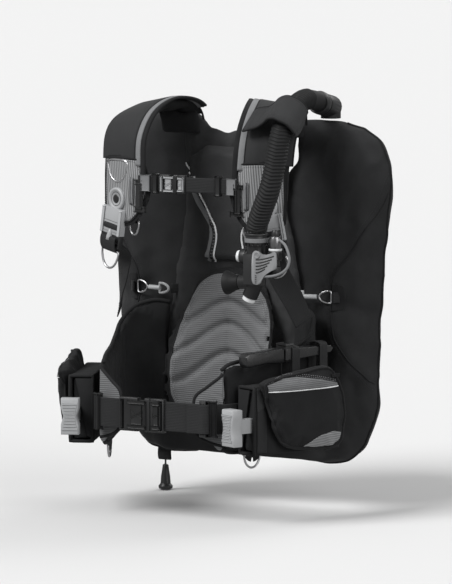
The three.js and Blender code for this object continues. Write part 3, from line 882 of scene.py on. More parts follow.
SLOT_MATERIALS = {
    "black_fabric": (BLACK_CLOTH, WING_CLOTH, LINING, SMOOTH_CLOTH, BINDING, DARK_THREAD),
    "grey_fabric": (GREY_MESH, GREY_TRIM, PALE_MESH, PALE_RIB, PANEL_GREY, PIPING, THREAD),
    "webbing": (WEBBING,),
    "black_plastic": (BLACK_PLASTIC, GLOSS_PLASTIC),
    "grey_plastic": (PLATE_PLASTIC, GREY_PLASTIC, WHITE_PLASTIC),
    "steel": (STEEL, DULL_STEEL),
    "rubber": (RUBBER, GREY_RUBBER),
}
SLOT_OF = {material.name: slot for slot, group in SLOT_MATERIALS.items() for material in group}


# ---------------------------------------------------------------- soft bodies of the vest

def soft_body(name, node, voxel, pressure, cap, rounds=4):
    """A node's plain solid as stitched, slightly swollen cloth."""
    obj = copy_node(name, node)
    remesh(obj, voxel * MM)
    smooth(obj, rounds)
    inflate(obj, pressure, cap * MM)
    return obj


def finish_soft(obj, material, node, levels=1):
    subdivide(obj, levels)
    piece(obj, material, "root", [node])
    return obj


def line_distance(points, line, axes=(0, 2)):
    """Distance in mm of points (metres) from a polyline in mm, seen along one axis."""
    flat = points[:, list(axes)] / MM
    line = np.array(line, float)
    best = np.full(len(points), 1e9)
    for a, b in zip(line, line[1:]):
        span = b - a
        share = np.clip(((flat - a) @ span) / (span @ span), 0, 1)
        best = np.minimum(best, np.linalg.norm(flat - a - share[:, None] * span, axis=1))
    return best


def press_line(obj, line, width, depth, facing, axes=(0, 2)):
    """Presses a groove (or, with a negative depth, raises a ridge) along a line; width and
    depth in mm. Only points whose normal looks along facing move."""
    points, normals = get_points(obj), get_normals(obj)
    near = np.exp(-(line_distance(points, line, axes) / width) ** 2)
    ahead = np.clip(normals @ np.array(facing, float), 0, 1) ** 0.5
    set_points(obj, points - normals * (near * ahead * depth * MM)[:, None])
    return obj


GUSSET_SEAM = [(281, 238), (262, 170), (222, 96), (189, 46), (192, -36), (206, -70), (236, -112),
               (262, -150)]


def make_air_cell():
    cell = soft_body("air_cell_shell", "air_cell", 6, 3.0, 7, rounds=6)
    front = (0, -1, 0)
    for side in SIDES.values():
        seam = spline([(x * side, z) for x, z in GUSSET_SEAM], 8)
        press_line(cell, seam, 16, -6.0, front)
        press_line(cell, seam, 4, 1.6, front)
        pleat = [(283 * side, 262), (246 * side, 226), (214 * side, 150)]
        press_line(cell, pleat, 10, 3.0, front)
        cinch = [(170 * side, 24), (205 * side, 10), (240 * side, -8)]
        press_line(cell, cinch, 14, 5.0, front)
        for low in ((178, -236), (232, -196)):
            fold = [(low[0] * side, low[1] - 26), ((low[0] - 12) * side, low[1] + 70)]
            press_line(cell, fold, 9, 2.5, front)

    def slack(points):
        return 0.35 + 0.65 * np.clip(np.abs(points[:, 0]) / 0.2 - 0.4, 0, 1)

    wrinkle(cell, 0.13, 0.0100, 3.1, stretch=(1, 1, 0.55), mask=slack)
    wrinkle(cell, 0.045, 0.0045, 8.4, stretch=(1, 1, 0.7), mask=slack)
    return finish_soft(cell, WING_CLOTH, "air_cell")


def make_jacket_back():
    back = soft_body("jacket_back_shell", "jacket_back", 5, 3.0, 5)
    wrinkle(back, 0.055, 0.0070, 1.7, stretch=(1.5, 1, 0.65))
    wrinkle(back, 0.026, 0.0018, 5.2)
    return finish_soft(back, LINING, "jacket_back")


def make_spine_pad():
    pad = soft_body("spine_pad_cushion", "spine_pad", 4, 4.0, 6)
    front = (0, -1, 0)
    for side in SIDES.values():
        channel = spline([(66 * side, 262), (60 * side, 190), (34 * side, 128), (40 * side, 74)], 8)
        press_line(pad, channel, 5, 2.2, front)
    wrinkle(pad, 0.06, 0.0024, 2.2)
    return finish_soft(pad, LINING, "spine_pad")


CHEVRONS = [(4, 78, -33), (-34, 88, -84), (-83, 86, -134)]


def chevron(apex, half, end):
    """One sewn channel across the lumbar pad, dropping from its middle to both sides."""
    marks = []
    for share in np.linspace(-1, 1, 25):
        drop = 0.55 * (1 - math.cos(math.pi * abs(share))) / 2 + 0.45 * abs(share) ** 1.6
        marks.append((half * share, apex + (end - apex) * drop))
    return marks


def make_lumbar_pad():
    pad = soft_body("lumbar_pad_cushion", "lumbar_pad", 4, 4.0, 6)
    front = (0, -1, 0)
    for apex, half, end in CHEVRONS:
        press_line(pad, chevron(apex, half, end), 5.5, 7.0, front)
    press_line(pad, [(0, 44), (0, -120)], 4.0, 3.0, front)
    wrinkle(pad, 0.045, 0.0014, 4.4)
    return finish_soft(pad, BLACK_CLOTH, "lumbar_pad")


def make_shoulder_strap(side_name, side):
    strap = soft_body(f"shoulder_strap_{side_name}_pad", f"shoulder_strap_{side_name}", 4, 4.0, 4)
    wrinkle(strap, 0.035, 0.0012, 2.0 + side, stretch=(1, 1, 0.6))
    return finish_soft(strap, BLACK_CLOTH, f"shoulder_strap_{side_name}")


def make_cummerbund(side_name, side):
    band = soft_body(f"cummerbund_{side_name}_band", f"cummerbund_{side_name}", 4, 3.0, 4, rounds=3)

    def slack(points):
        return np.clip((np.abs(points[:, 1]) - 0.06) / 0.05, 0.2, 1)

    wrinkle(band, 0.045, 0.0030, 6.0 + side, stretch=(1, 0.8, 0.8), mask=slack)
    wrinkle(band, 0.018, 0.0006, 9.0 + side)
    return finish_soft(band, BLACK_CLOTH, f"cummerbund_{side_name}")


def make_weight_pocket(side_name, side):
    pocket = copy_node(f"weight_pocket_{side_name}_shell", f"weight_pocket_{side_name}")
    remesh(pocket, 2.6 * MM)
    smooth(pocket, 3)
    wrinkle(pocket, 0.04, 0.0011, 3.0 + side)
    return finish_soft(pocket, BLACK_CLOTH, f"weight_pocket_{side_name}", levels=0)


def make_cargo_pocket(side_name, side):
    pocket = soft_body(f"cargo_pocket_{side_name}_bag", f"cargo_pocket_{side_name}", 4, 4.0, 5)
    wrinkle(pocket, 0.05, 0.0014, 7.0 + side)
    return finish_soft(pocket, BLACK_CLOTH, f"cargo_pocket_{side_name}")


SOFT = {"air_cell": make_air_cell(), "jacket_back": make_jacket_back(),
        "spine_pad": make_spine_pad(), "lumbar_pad": make_lumbar_pad()}
for side_name, side in SIDES.items():
    SOFT["shoulder_strap_" + side_name] = make_shoulder_strap(side_name, side)
    SOFT["cummerbund_" + side_name] = make_cummerbund(side_name, side)
    SOFT["weight_pocket_" + side_name] = make_weight_pocket(side_name, side)
    SOFT["cargo_pocket_" + side_name] = make_cargo_pocket(side_name, side)


# ---------------------------------------------------------------- hard parts that keep their shape

def harden(node, material, bevel=0.8, segments=2):
    """A CAD node with eased edges and its own finish."""
    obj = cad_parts[node]
    obj.data.materials.clear()
    obj.data.materials.append(material)
    for attribute in list(obj.data.attributes):
        if attribute.name.startswith("custom_normal"):
            obj.data.attributes.remove(attribute)
    obj.data.polygons.foreach_set("use_smooth", [True] * len(obj.data.polygons))
    weld = obj.modifiers.new("weld", "WELD")
    weld.merge_threshold = 1e-6
    if bevel:
        ease = obj.modifiers.new("eased_edges", "BEVEL")
        ease.width = bevel * MM
        ease.segments = segments
        ease.limit_method = "ANGLE"
        ease.angle_limit = math.radians(32)
        ease.use_clamp_overlap = True
    split = obj.modifiers.new("edges", "EDGE_SPLIT")
    split.split_angle = math.radians(34)
    split.use_edge_sharp = False
    return obj


def round_wire(node, material):
    """A bent wire node, rounded by one subdivision."""
    obj = harden(node, material, bevel=0)
    obj.modifiers.remove(obj.modifiers["edges"])
    rounding = obj.modifiers.new("rounding", "SUBSURF")
    rounding.levels = 1
    rounding.render_levels = 1
    return obj


HARD_NODES = [
    (("tank_saddle",), RUBBER, 2.0), (("backplate",), BLACK_PLASTIC, 1.5),
    (("dump_valve",), BLACK_PLASTIC, 1.0), (("dump_pull",), BLACK_PLASTIC, 1.0),
    (("cam_buckle_frame", "cam_lever"), BLACK_PLASTIC, 1.0),
    (("shoulder_buckle_left", "shoulder_buckle_right"), GREY_PLASTIC, 1.6),
    (("strap_adjuster_left", "strap_adjuster_right"), BLACK_PLASTIC, 1.0),
    (("waist_socket", "waist_tongue", "chest_socket", "chest_tongue"), BLACK_PLASTIC, 1.0),
    (("waist_slide",), BLACK_PLASTIC, 1.0), (("trim_hook_left", "trim_hook_right"), GREY_PLASTIC, 0.8),
    (("knife_sheath", "knife"), GLOSS_PLASTIC, 2.0), (("shoulder_elbow",), BLACK_PLASTIC, 1.2),
    (("inflator_body",), BLACK_PLASTIC, 1.0), (("inflate_button",), WHITE_PLASTIC, 0.8),
    (("deflate_button",), WHITE_PLASTIC, 0.8), (("mouthpiece",), RUBBER, 1.0),
    (("gas_coupling",), BLACK_PLASTIC, 0.6),
    (("pouch_handle_left", "pouch_handle_right"), GREY_PLASTIC, 2.2),
]
# the wearer's left strap carries the hose instead of a chest ring
WIRE_NODES = ["pull_ring", "chest_ring", "strap_ring", "waist_ring", "trim_ring"]

for nodes, material, bevel in HARD_NODES:
    for node in nodes:
        harden(node, material, bevel)
for stem in WIRE_NODES:
    for side_name in SIDES:
        if f"{stem}_{side_name}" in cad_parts:
            round_wire(f"{stem}_{side_name}", STEEL)


# ---------------------------------------------------------------- lumbar, spine and yoke trim

FRONT = Plane((0, -260, 0), (1, 0, 0), (0, 0, 1))


LUMBAR_EDGE = [(0, 61), (30, 57), (52, 46), (70, 26), (84, 2), (94, -26), (100, -62), (103, -100),
               (104, -134), (103, -158), (95, -182), (82, -204), (52, -216), (0, -219)]


def lumbar_outline(inset):
    centre = (0, -80)
    points = []
    for u, v in LUMBAR_EDGE:
        span = math.hypot(u - centre[0], v - centre[1])
        points.append((u - (u - centre[0]) / span * inset, v - (v - centre[1]) / span * inset))
    whole = points + [(-u, v) for u, v in reversed(points[1:-1])]
    return [tuple(point) for point in spline(whole + [whole[0]], 5)][:-1]


def make_lumbar_trim():
    tree = surface(SOFT["lumbar_pad"])
    face = patch("lumbar_face", lumbar_outline(8), FRONT, tree, 1.2, 3.5)
    piece(face, GREY_MESH)
    over = surface(face)
    piece(cord_on("lumbar_binding", lumbar_outline(8), FRONT, tree, 1.8, 0.6, closed=True),
          BINDING)
    for index, inset in enumerate((13, 17)):
        row = stitches(f"lumbar_stitching_{index}", lumbar_outline(inset), FRONT, over, closed=True)
        piece(row, THREAD)
    for index, (apex, half, end) in enumerate(CHEVRONS):
        line = chevron(apex, half - 8, end)
        row = stitches(f"lumbar_channel_{index}", line, FRONT, over, 0.2, radius=0.3)
        piece(row, DARK_THREAD)


SPINE_LINE = [(84, 213), (76, 183), (57, 150), (40, 121), (43, 90), (49, 68)]
YOKE_PIPING = [(79, 216), (92, 228), (106, 241)]


def make_spine_trim():
    tree = surface(SOFT["spine_pad"], SOFT["jacket_back"], SOFT["lumbar_pad"])
    for side_name, side in SIDES.items():
        def inward(distance):
            return [((u - distance) * side, v) for u, v in SPINE_LINE]

        band = tape_on(f"spine_band_{side_name}", inward(0), FRONT, tree, 9, 0.9)
        piece(band, GREY_TRIM)
        for index, distance in enumerate((7.5, 10.5)):
            row = stitches(f"spine_stitching_{index}_{side_name}", inward(distance), FRONT, tree, 0.8,
                           length=3.4, gap=2.2, radius=0.6)
            piece(row, THREAD)
        edge = cord_on(f"spine_piping_{side_name}", inward(15), FRONT, tree, 1.5, 1.2)
        piece(edge, PIPING)
        yoke = [(u * side, v) for u, v in YOKE_PIPING]
        seam = cord_on(f"yoke_piping_{side_name}", yoke, FRONT, tree, 1.5, 1.0)
        piece(seam, PIPING)


make_lumbar_trim()
make_spine_trim()


# ---------------------------------------------------------------- shoulder straps

STRAP_PATH = [
    ((98, -52, 282), (1, 0, 0)), ((101, -57, 316), (1, 0, -0.05)),
    ((110, -77, 334), (1, 0.05, -0.12)), ((126, -112, 331), (0.96, 0.12, -0.25)),
    ((138, -148, 314), (0.95, 0.22, -0.2)), ((142, -171, 284), (0.948, 0.316, -0.05)),
    ((141, -178, 240), (0.949, 0.316, 0)), ((140, -180, 190), (0.949, 0.316, 0)),
]


def strap_stations(side, first, last, step=4.0):
    """Points and directions down the strap's middle, between two shares of its length."""
    rows = spline([(*place, *across) for place, across in STRAP_PATH], step)
    rows = rows[int(first * (len(rows) - 1)):int(round(last * (len(rows) - 1))) + 1]
    stations = []
    for index, row in enumerate(rows):
        ahead, behind = rows[min(index + 1, len(rows) - 1)], rows[max(index - 1, 0)]
        along = Vector((ahead - behind)[:3]).normalized()
        across = Vector(row[3:]).normalized()
        out = along.cross(across).normalized()
        point = Vector(row[:3]) * MM
        mirror = Vector((side, 1, 1))
        stations.append((point * mirror, across * mirror, out * mirror))
    return stations


def strap_strip(name, side, centre, width, lift, thick, first, last, crown=0.0):
    """A band along the strap, centre mm outward of its middle and lift mm above it."""
    stations = []
    for point, across, out in strap_stations(side, first, last):
        stations.append((point + (across * centre + out * lift) * MM, across, out))
    half, t = width / 2, thick / 2
    section = [(-half, -t), (half, -t), (half + 0.3, 0), (half - 0.6, t),
               (half * 0.5, t + crown * 0.75), (0, t + crown), (-half * 0.5, t + crown * 0.75),
               (-half + 0.6, t), (-half - 0.3, 0)]
    return section_sweep(name, stations, section)


def strap_tube(name, side, centre, lift, radius, first, last):
    points = [point + (across * centre + out * lift) * MM
              for point, across, out in strap_stations(side, first, last)]
    return tube(name, points, radius * MM, 8)


def hub_plane(side):
    """The shoulder buckle's plane: u runs outward from its hub, v up the strap."""
    return Plane((140, -180, 181), (0.949, 0.316, 0), (0, 0, 1), side)


HARNESS_PANEL = [(33, 70), (35, 40), (35, 0), (33, -30), (20, -44), (-14, -46), (-34, -42),
                 (-48, -28), (-60, -6), (-66, 16), (-65, 34), (-58, 56), (-51, 70), (-10, 72)]
RIBBED_INSET = [(29, 66), (30, 34), (30, 0), (28, -22), (12, -36), (-12, -38), (-30, -35),
                (-42, -22), (-52, -4), (-58, 16), (-57, 32), (-50, 52), (-43, 66), (-8, 68)]


def panel_height(u):
    """How far in front of the hub plane the harness panel lies: it falls back inward."""
    inward = max(0.0, -26 - u)
    return 8.2 - 0.30 * inward - 0.0025 * inward ** 2


def bent_panel(name, outline, plane, lift, thick, dome):
    """A panel cut to an outline and bent to the harness panel's shape, fuller in its middle."""
    mesh, rim = cut_panel(outline, 4.0)
    for vert in mesh.verts:
        u, v = vert.co.x, vert.co.y
        inner = np.min(np.hypot(rim[:, 0] - u, rim[:, 1] - v))
        rise = dome * min(1.0, inner / 10.0) ** 0.5
        vert.co = plane.at(u, v, panel_height(u) + lift + thick + rise)
    return thickened(name, mesh, plane.out, thick)


def make_shoulder_trim(side_name, side):
    cover = strap_strip(f"strap_cover_{side_name}", side, 0, 79, 7.6, 2.4, 0.12, 0.79, 1.0)
    piece(cover, SMOOTH_CLOTH)
    for index, centre in enumerate((-40.5, 40.5)):
        edge = strap_tube(f"strap_cover_edge_{index}_{side_name}", side, centre, 6.4, 1.9, 0.1, 0.79)
        piece(edge, BINDING)
    band = strap_strip(f"strap_trim_{side_name}", side, -46, 12, 5.4, 3.2, 0.16, 0.83, 0.8)
    piece(band, GREY_TRIM)
    outer = strap_strip(f"strap_border_{side_name}", side, -56, 10, 3.0, 4.0, 0.18, 0.93, 0.8)
    piece(outer, BINDING)
    plane = hub_plane(side)
    base = bent_panel(f"harness_panel_{side_name}", HARNESS_PANEL, plane, -2.6, 3.6, dome=1.2)
    piece(base, BLACK_CLOTH)
    rib = bent_panel(f"harness_mesh_{side_name}", RIBBED_INSET, plane, 1.4, 0.9, dome=0.4)
    piece(rib, PALE_RIB)
    tree = surface(base, rib)
    hem = [(u * 1.03, v * 1.02) for u, v in RIBBED_INSET]
    hem_edge = cord_on(f"harness_hem_{side_name}", hem, plane, tree, 1.5, 0.4, closed=True)
    piece(hem_edge, BINDING)
    row = stitches(f"harness_stitching_{side_name}",
                   [(u * 0.93, v * 0.95) for u, v in RIBBED_INSET], plane, tree, 0.4, radius=0.35,
                   closed=True)
    piece(row, DARK_THREAD)
    border = stitches(f"harness_border_stitching_{side_name}",
                      [(u * 0.985, v * 0.985) for u, v in HARNESS_PANEL[2:14]], plane, tree, 0.4,
                      radius=0.3)
    piece(border, DARK_THREAD)


def make_hub_details(side_name, side):
    """The swivel's washer on the strap, and what turns with the buckle."""
    plane = hub_plane(side)
    centre = plane.mm(0, 0)
    washer = lathe(f"hub_washer_{side_name}", [(4, 7.0), (23.5, 7.0), (24.2, 7.8), (23.4, 9.0),
                                               (19.6, 9.4), (4, 9.4)], centre, plane.out)
    piece(washer, RUBBER, "root", (), "black_plastic")
    body = f"swivel_{side_name}"
    ring = lathe(f"hub_ring_{side_name}", [(13.2, 12.5), (18.4, 12.5), (19.2, 14.2), (18.6, 15.6),
                                           (16.8, 16.3), (14.4, 15.6), (13.2, 14.4)],
                 centre, plane.out)
    piece(ring, GREY_PLASTIC, body)
    cap = lathe(f"hub_cap_{side_name}", [(0.4, 12.4), (13.0, 12.4), (13.0, 13.9), (11.6, 14.7),
                                         (10.4, 14.0), (8.0, 13.8), (7.4, 14.6), (5.2, 15.2),
                                         (0.4, 15.3)], centre, plane.out)
    piece(cap, BLACK_PLASTIC, body)
    tilt = math.radians(10)
    right = plane.right * math.cos(tilt) + plane.up * math.sin(tilt)
    up = plane.up * math.cos(tilt) - plane.right * math.sin(tilt)
    tilted = hub_plane(side)
    tilted.right, tilted.up = right, up
    for index, height in enumerate((-40.5, -53.0)):
        bar = block(f"buckle_slot_bar_{index}_{side_name}", (36, 2.6, 5.4),
                    tilted.mm(0, height, 17.4), tilted.right, tilted.up, 0.9)
        piece(bar, BLACK_PLASTIC, body)
    band = webbing(f"buckle_webbing_{side_name}",
                   [tilted.mm(0, v, w) for v, w in ((-39, 15.5), (-44, 19.6), (-49, 19.8), (-54, 15.5))],
                   tilted.right, 34, 1.8, 1.5)
    piece(band, WEBBING, body)
    spout = lathe(f"buckle_release_{side_name}", [(6.4, -6), (5.6, 0), (4.4, 6), (3.0, 11), (0.6, 13)],
                  tilted.mm(0, -64, 19.0), tilted.up, 24)
    piece(spout, GREY_PLASTIC, body)
    for index, u in enumerate((-21.5, 21.5)):
        rib = block(f"buckle_cheek_{index}_{side_name}", (3.4, 3.2, 42), tilted.mm(u, -38, 19.4),
                    tilted.right, tilted.up, 1.2)
        piece(rib, GREY_PLASTIC, body)
    return tilted


def make_pull_webbing(side_name, side, tilted):
    """The harness webbing below the adjuster, its fold and its run to the cummerbund."""
    def on(u, v, w):
        return tuple(tilted.mm(u, v, w))

    fold = webbing(f"adjuster_fold_{side_name}",
                   [on(0, -73, 8.5), on(0, -70, 16.5), on(0, -64, 20.5), on(0, -67, 22.6),
                    on(0, -78, 22.0), on(0, -87, 17.6), on(0, -89.5, 13.5), on(0, -86, 10.6)],
                   tilted.right, 38, 2.2, 2.0)
    piece(fold, WEBBING, f"adjuster_{side_name}")
    points = [on(0, -72, 12.0), (146.0 * side, -167.5, 88), (152.5 * side, -157.5, 60),
              (168 * side, -140, 20), (179 * side, -126, -17)]
    across = [tilted.right, (0.93 * side, 0.36, 0), (0.83 * side, 0.55, 0), (0.62 * side, 0.78, 0),
              (0.383 * side, 0.922, 0)]
    run = webbing(f"pull_webbing_{side_name}", points, across, 38, 2.4)
    piece(run, WEBBING, "root", [f"pull_strap_{side_name}"])
    run.parent = None
    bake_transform(run, f"swivel_{side_name}", "root", start=Vector(points[0]) * MM,
             end=Vector(points[3]) * MM)
    box_x = stitches(f"pull_webbing_stitching_{side_name}",
                     [(-12, -4), (12, -4), (12, 12), (-12, 12), (-12, -4), (12, 12)],
                     Plane((176, -129, -16), (0.383, 0.922, 0), (0.05, -0.2, 1), side),
                     surface(run), 0.3)
    piece(box_x, DARK_THREAD, "root", (), "webbing")


def make_strap_hardware(side_name, side):
    """Rail for the chest strap and webbing tabs for the rings."""
    plane = hub_plane(side)
    rail_u = -50.0
    back = panel_height(rail_u)
    rail = block(f"chest_rail_{side_name}", (11, 4.5, 42), plane.mm(rail_u, 7, back + 6),
                 plane.right, plane.up, 1.6)
    foot = block(f"chest_rail_foot_{side_name}", (30, 4.0, 7.5), plane.mm(rail_u + 3, -15, back + 5),
                 plane.right, plane.up, 1.5)
    cap = block(f"chest_rail_cap_{side_name}", (16, 4.0, 7), plane.mm(rail_u + 2, 30, back + 4.6),
                plane.right, plane.up, 1.5)
    groove = block(f"chest_rail_groove_{side_name}", (3, 2.4, 34),
                   plane.mm(rail_u - 2.5, 7, back + 8), plane.right, plane.up, 0.6)
    rail_piece = fused(f"chest_rail_moulding_{side_name}", [rail, foot, cap])
    piece(rail_piece, BLACK_PLASTIC, sharp=40)
    piece(groove, GLOSS_PLASTIC, sharp=40)
    loop = webbing(f"rail_webbing_{side_name}",
                   [tuple(plane.mm(-34, v, w)) for v, w in ((38, 9.5), (32, 11), (0, 11.0), (-8, 9.0))],
                   plane.right, 9, 1.6)
    piece(loop, GREY_TRIM)
    tab = webbing(f"strap_ring_tab_{side_name}",
                  [tuple(plane.mm(-27, v, w))
                   for v, w in ((-20, 6), (-30, 5), (-37, 3.4), (-40, -1), (-36, -4), (-24, -4))],
                  plane.right, 18, 1.8, 2.0)
    piece(tab, WEBBING)


for side_name, side in SIDES.items():
    make_shoulder_trim(side_name, side)
    tilted_plane = make_hub_details(side_name, side)
    make_pull_webbing(side_name, side, tilted_plane)
    make_strap_hardware(side_name, side)


# ---------------------------------------------------------------- hose, flap and inflator

HOSE_ROUTE = [(146.5, -227.5, 142), (148, -227, 156), (157, -226, 180), (169, -224, 213),
              (173, -214, 250), (174, -193, 306), (171, -153, 338), (168, -111, 352),
              (164, -71, 351), (163, -36, 342)]
HOSE_RADIUS = 17.0
RIDGE_PITCH = 5.6
RIDGE_HEIGHT = 2.1
RIDGE_POINT = 7.0
PLAIN_END = 52


def frame_line(route, step, facing):
    """Points, direction of travel, way out towards facing, and side, along a smooth route."""
    rows = spline(route, step)
    facing = Vector(facing)
    marks = []
    for index, row in enumerate(rows):
        along = Vector(rows[min(index + 1, len(rows) - 1)] - rows[max(index - 1, 0)]).normalized()
        out = (facing - along * facing.dot(along)).normalized()
        marks.append((Vector(row), along, out, along.cross(out)))
    return marks


def make_hose():
    """Corrugated hose whose ridges point towards the inflator along its front line."""
    marks = frame_line(HOSE_ROUTE, 0.8, (0.35, -0.75, 0.55))
    sides = 48
    length = 0.8 * (len(marks) - 1)
    points = []
    for row, (point, _, out, side_way) in enumerate(marks):
        run = row * 0.8
        fade = min(1.0, max(0.0, (length - PLAIN_END - run) / 6)) * min(1.0, run / 4)
        for k in range(sides):
            turn = 2 * math.pi * k / sides
            off_front = abs((turn + math.pi) % (2 * math.pi) - math.pi)
            phase = (run + RIDGE_POINT * (1 - off_front / (math.pi / 2))) / RIDGE_PITCH
            wave = 0.5 + 0.5 * math.sin(2 * math.pi * phase)
            ridge = wave ** 0.6 * RIDGE_HEIGHT * fade
            radius = HOSE_RADIUS - 1.0 + ridge
            points.append((point + (out * math.cos(turn) + side_way * math.sin(turn)) * radius) * MM)
    hose = outward(new_mesh("ribbed_hose", points, ring_faces(len(marks), sides)))
    piece(hose, RUBBER, "root", ["corrugated_hose"])
    end = marks[-1][0] - marks[-1][1]
    cuff = lathe("hose_cuff", [(16.4, -14), (18.6, -14), (19.6, -12), (19.6, -3), (18.8, 0), (16.4, 0)],
                 end, marks[-1][1])
    piece(cuff, BLACK_PLASTIC, sharp=40)


class Wrap:
    """A strip's own frame: u mm along its line, v mm across it."""

    def __init__(self, line, across):
        self.rows = spline(line, 2.0)
        self.across = Vector(across).normalized()
        self.length = 2.0 * (len(self.rows) - 1)
        self.out = Vector((0, -0.7, 0.7))

    def drop(self, tree, u, v, lift=0.0):
        share = min(max(u / self.length, 0.0), 1.0) * (len(self.rows) - 1)
        low = min(int(share), len(self.rows) - 2)
        point = Vector(self.rows[low]).lerp(Vector(self.rows[low + 1]), share - low)
        ahead = Vector(self.rows[min(low + 2, len(self.rows) - 1)])
        along = (ahead - Vector(self.rows[max(low - 1, 0)])).normalized()
        out = along.cross(self.across).normalized()
        if out.z < 0 and out.y > 0:
            out = -out
        return (point + self.across * v + out * lift) * MM, out


def make_hose_flap():
    wrap = Wrap([(104, -173, 322), (118, -174, 323), (130, -175, 325), (146, -184, 332),
                 (159, -191.5, 341), (174, -191, 345), (190, -182, 337), (197, -171, 322),
                 (195, -162, 307)], (-0.05, 0.82, 0.56))
    across_count, along_count = 16, 64
    outline_low, outline_high = [], []
    for index in range(along_count + 1):
        u = wrap.length * index / along_count
        share = u / wrap.length
        arch = 11 * math.sin(math.pi * min(1, share / 0.62)) if share < 0.62 else 0
        rounding = max(0.0, (share - 0.80) / 0.20)
        pull = 31 * (1 - math.sqrt(max(0.0, 1 - rounding ** 2)))
        outline_low.append((u, -34 + arch + pull * 0.9))
        outline_high.append((u, 29 - pull - 5 * (1 - min(1.0, share / 0.1)) ** 2))
    points, faces = [], []
    for layer, lift in enumerate((3.2, 0.2)):
        for (u, low), (_, high) in zip(outline_low, outline_high):
            for k in range(across_count + 1):
                v = low + (high - low) * k / across_count
                rim = min(k, across_count - k) / 3
                soft = lift + (0.8 * min(1.0, rim) if layer == 0 else 0)
                points.append(wrap.drop(None, u, v, soft)[0])
    row = across_count + 1
    layer_size = row * (along_count + 1)
    for i in range(along_count):
        for k in range(across_count):
            a = i * row + k
            faces.append((a, a + 1, a + row + 1, a + row))
            b = a + layer_size
            faces.append((b, b + row, b + row + 1, b + 1))
    for i in range(along_count):
        for k in (0, across_count):
            a = i * row + k
            faces.append((a, a + row, a + row + layer_size, a + layer_size))
    for k in range(across_count):
        for i in (0, along_count):
            a = i * row + k
            faces.append((a, a + 1, a + 1 + layer_size, a + layer_size))
    flap = outward(new_mesh("hose_flap_cloth", points, faces))
    piece(flap, SMOOTH_CLOTH, "hose_flap", ["hose_flap"])
    loop = outline_low[2:-3] + list(reversed(outline_high[2:-3]))
    edge = tube("hose_flap_binding", [wrap.drop(None, u, v, 2.0)[0] for u, v in
                                      spline(outline_low + list(reversed(outline_high)), 3)],
                1.9 * MM, 8, closed=True)
    piece(edge, BINDING, "hose_flap")
    middle = 0.5 * wrap.length
    inset = [(middle + (u - middle) * 0.94, v * 0.84) for u, v in loop]
    row = stitches("hose_flap_stitching", inset, wrap, None, 4.2, radius=0.35, closed=True)
    piece(row, DARK_THREAD, "hose_flap")


INFLATOR = Vector((146, -228, 0))
FACE_PLATE = [(151, 108), (155, 112.5), (161, 112), (168, 108), (174, 106.5), (184, 109),
              (194, 111.5), (196, 98), (195, 85), (186, 80.5), (176, 74), (169, 66), (164, 58),
              (153, 57.5), (150, 66), (150, 90)]


def ring_at(name, profile, height, material):
    """A turned ring round the inflator's upright axis, at a height in mm."""
    piece(lathe(name, profile, INFLATOR + Vector((0, 0, height)), (0, 0, 1), 56), material, sharp=35)


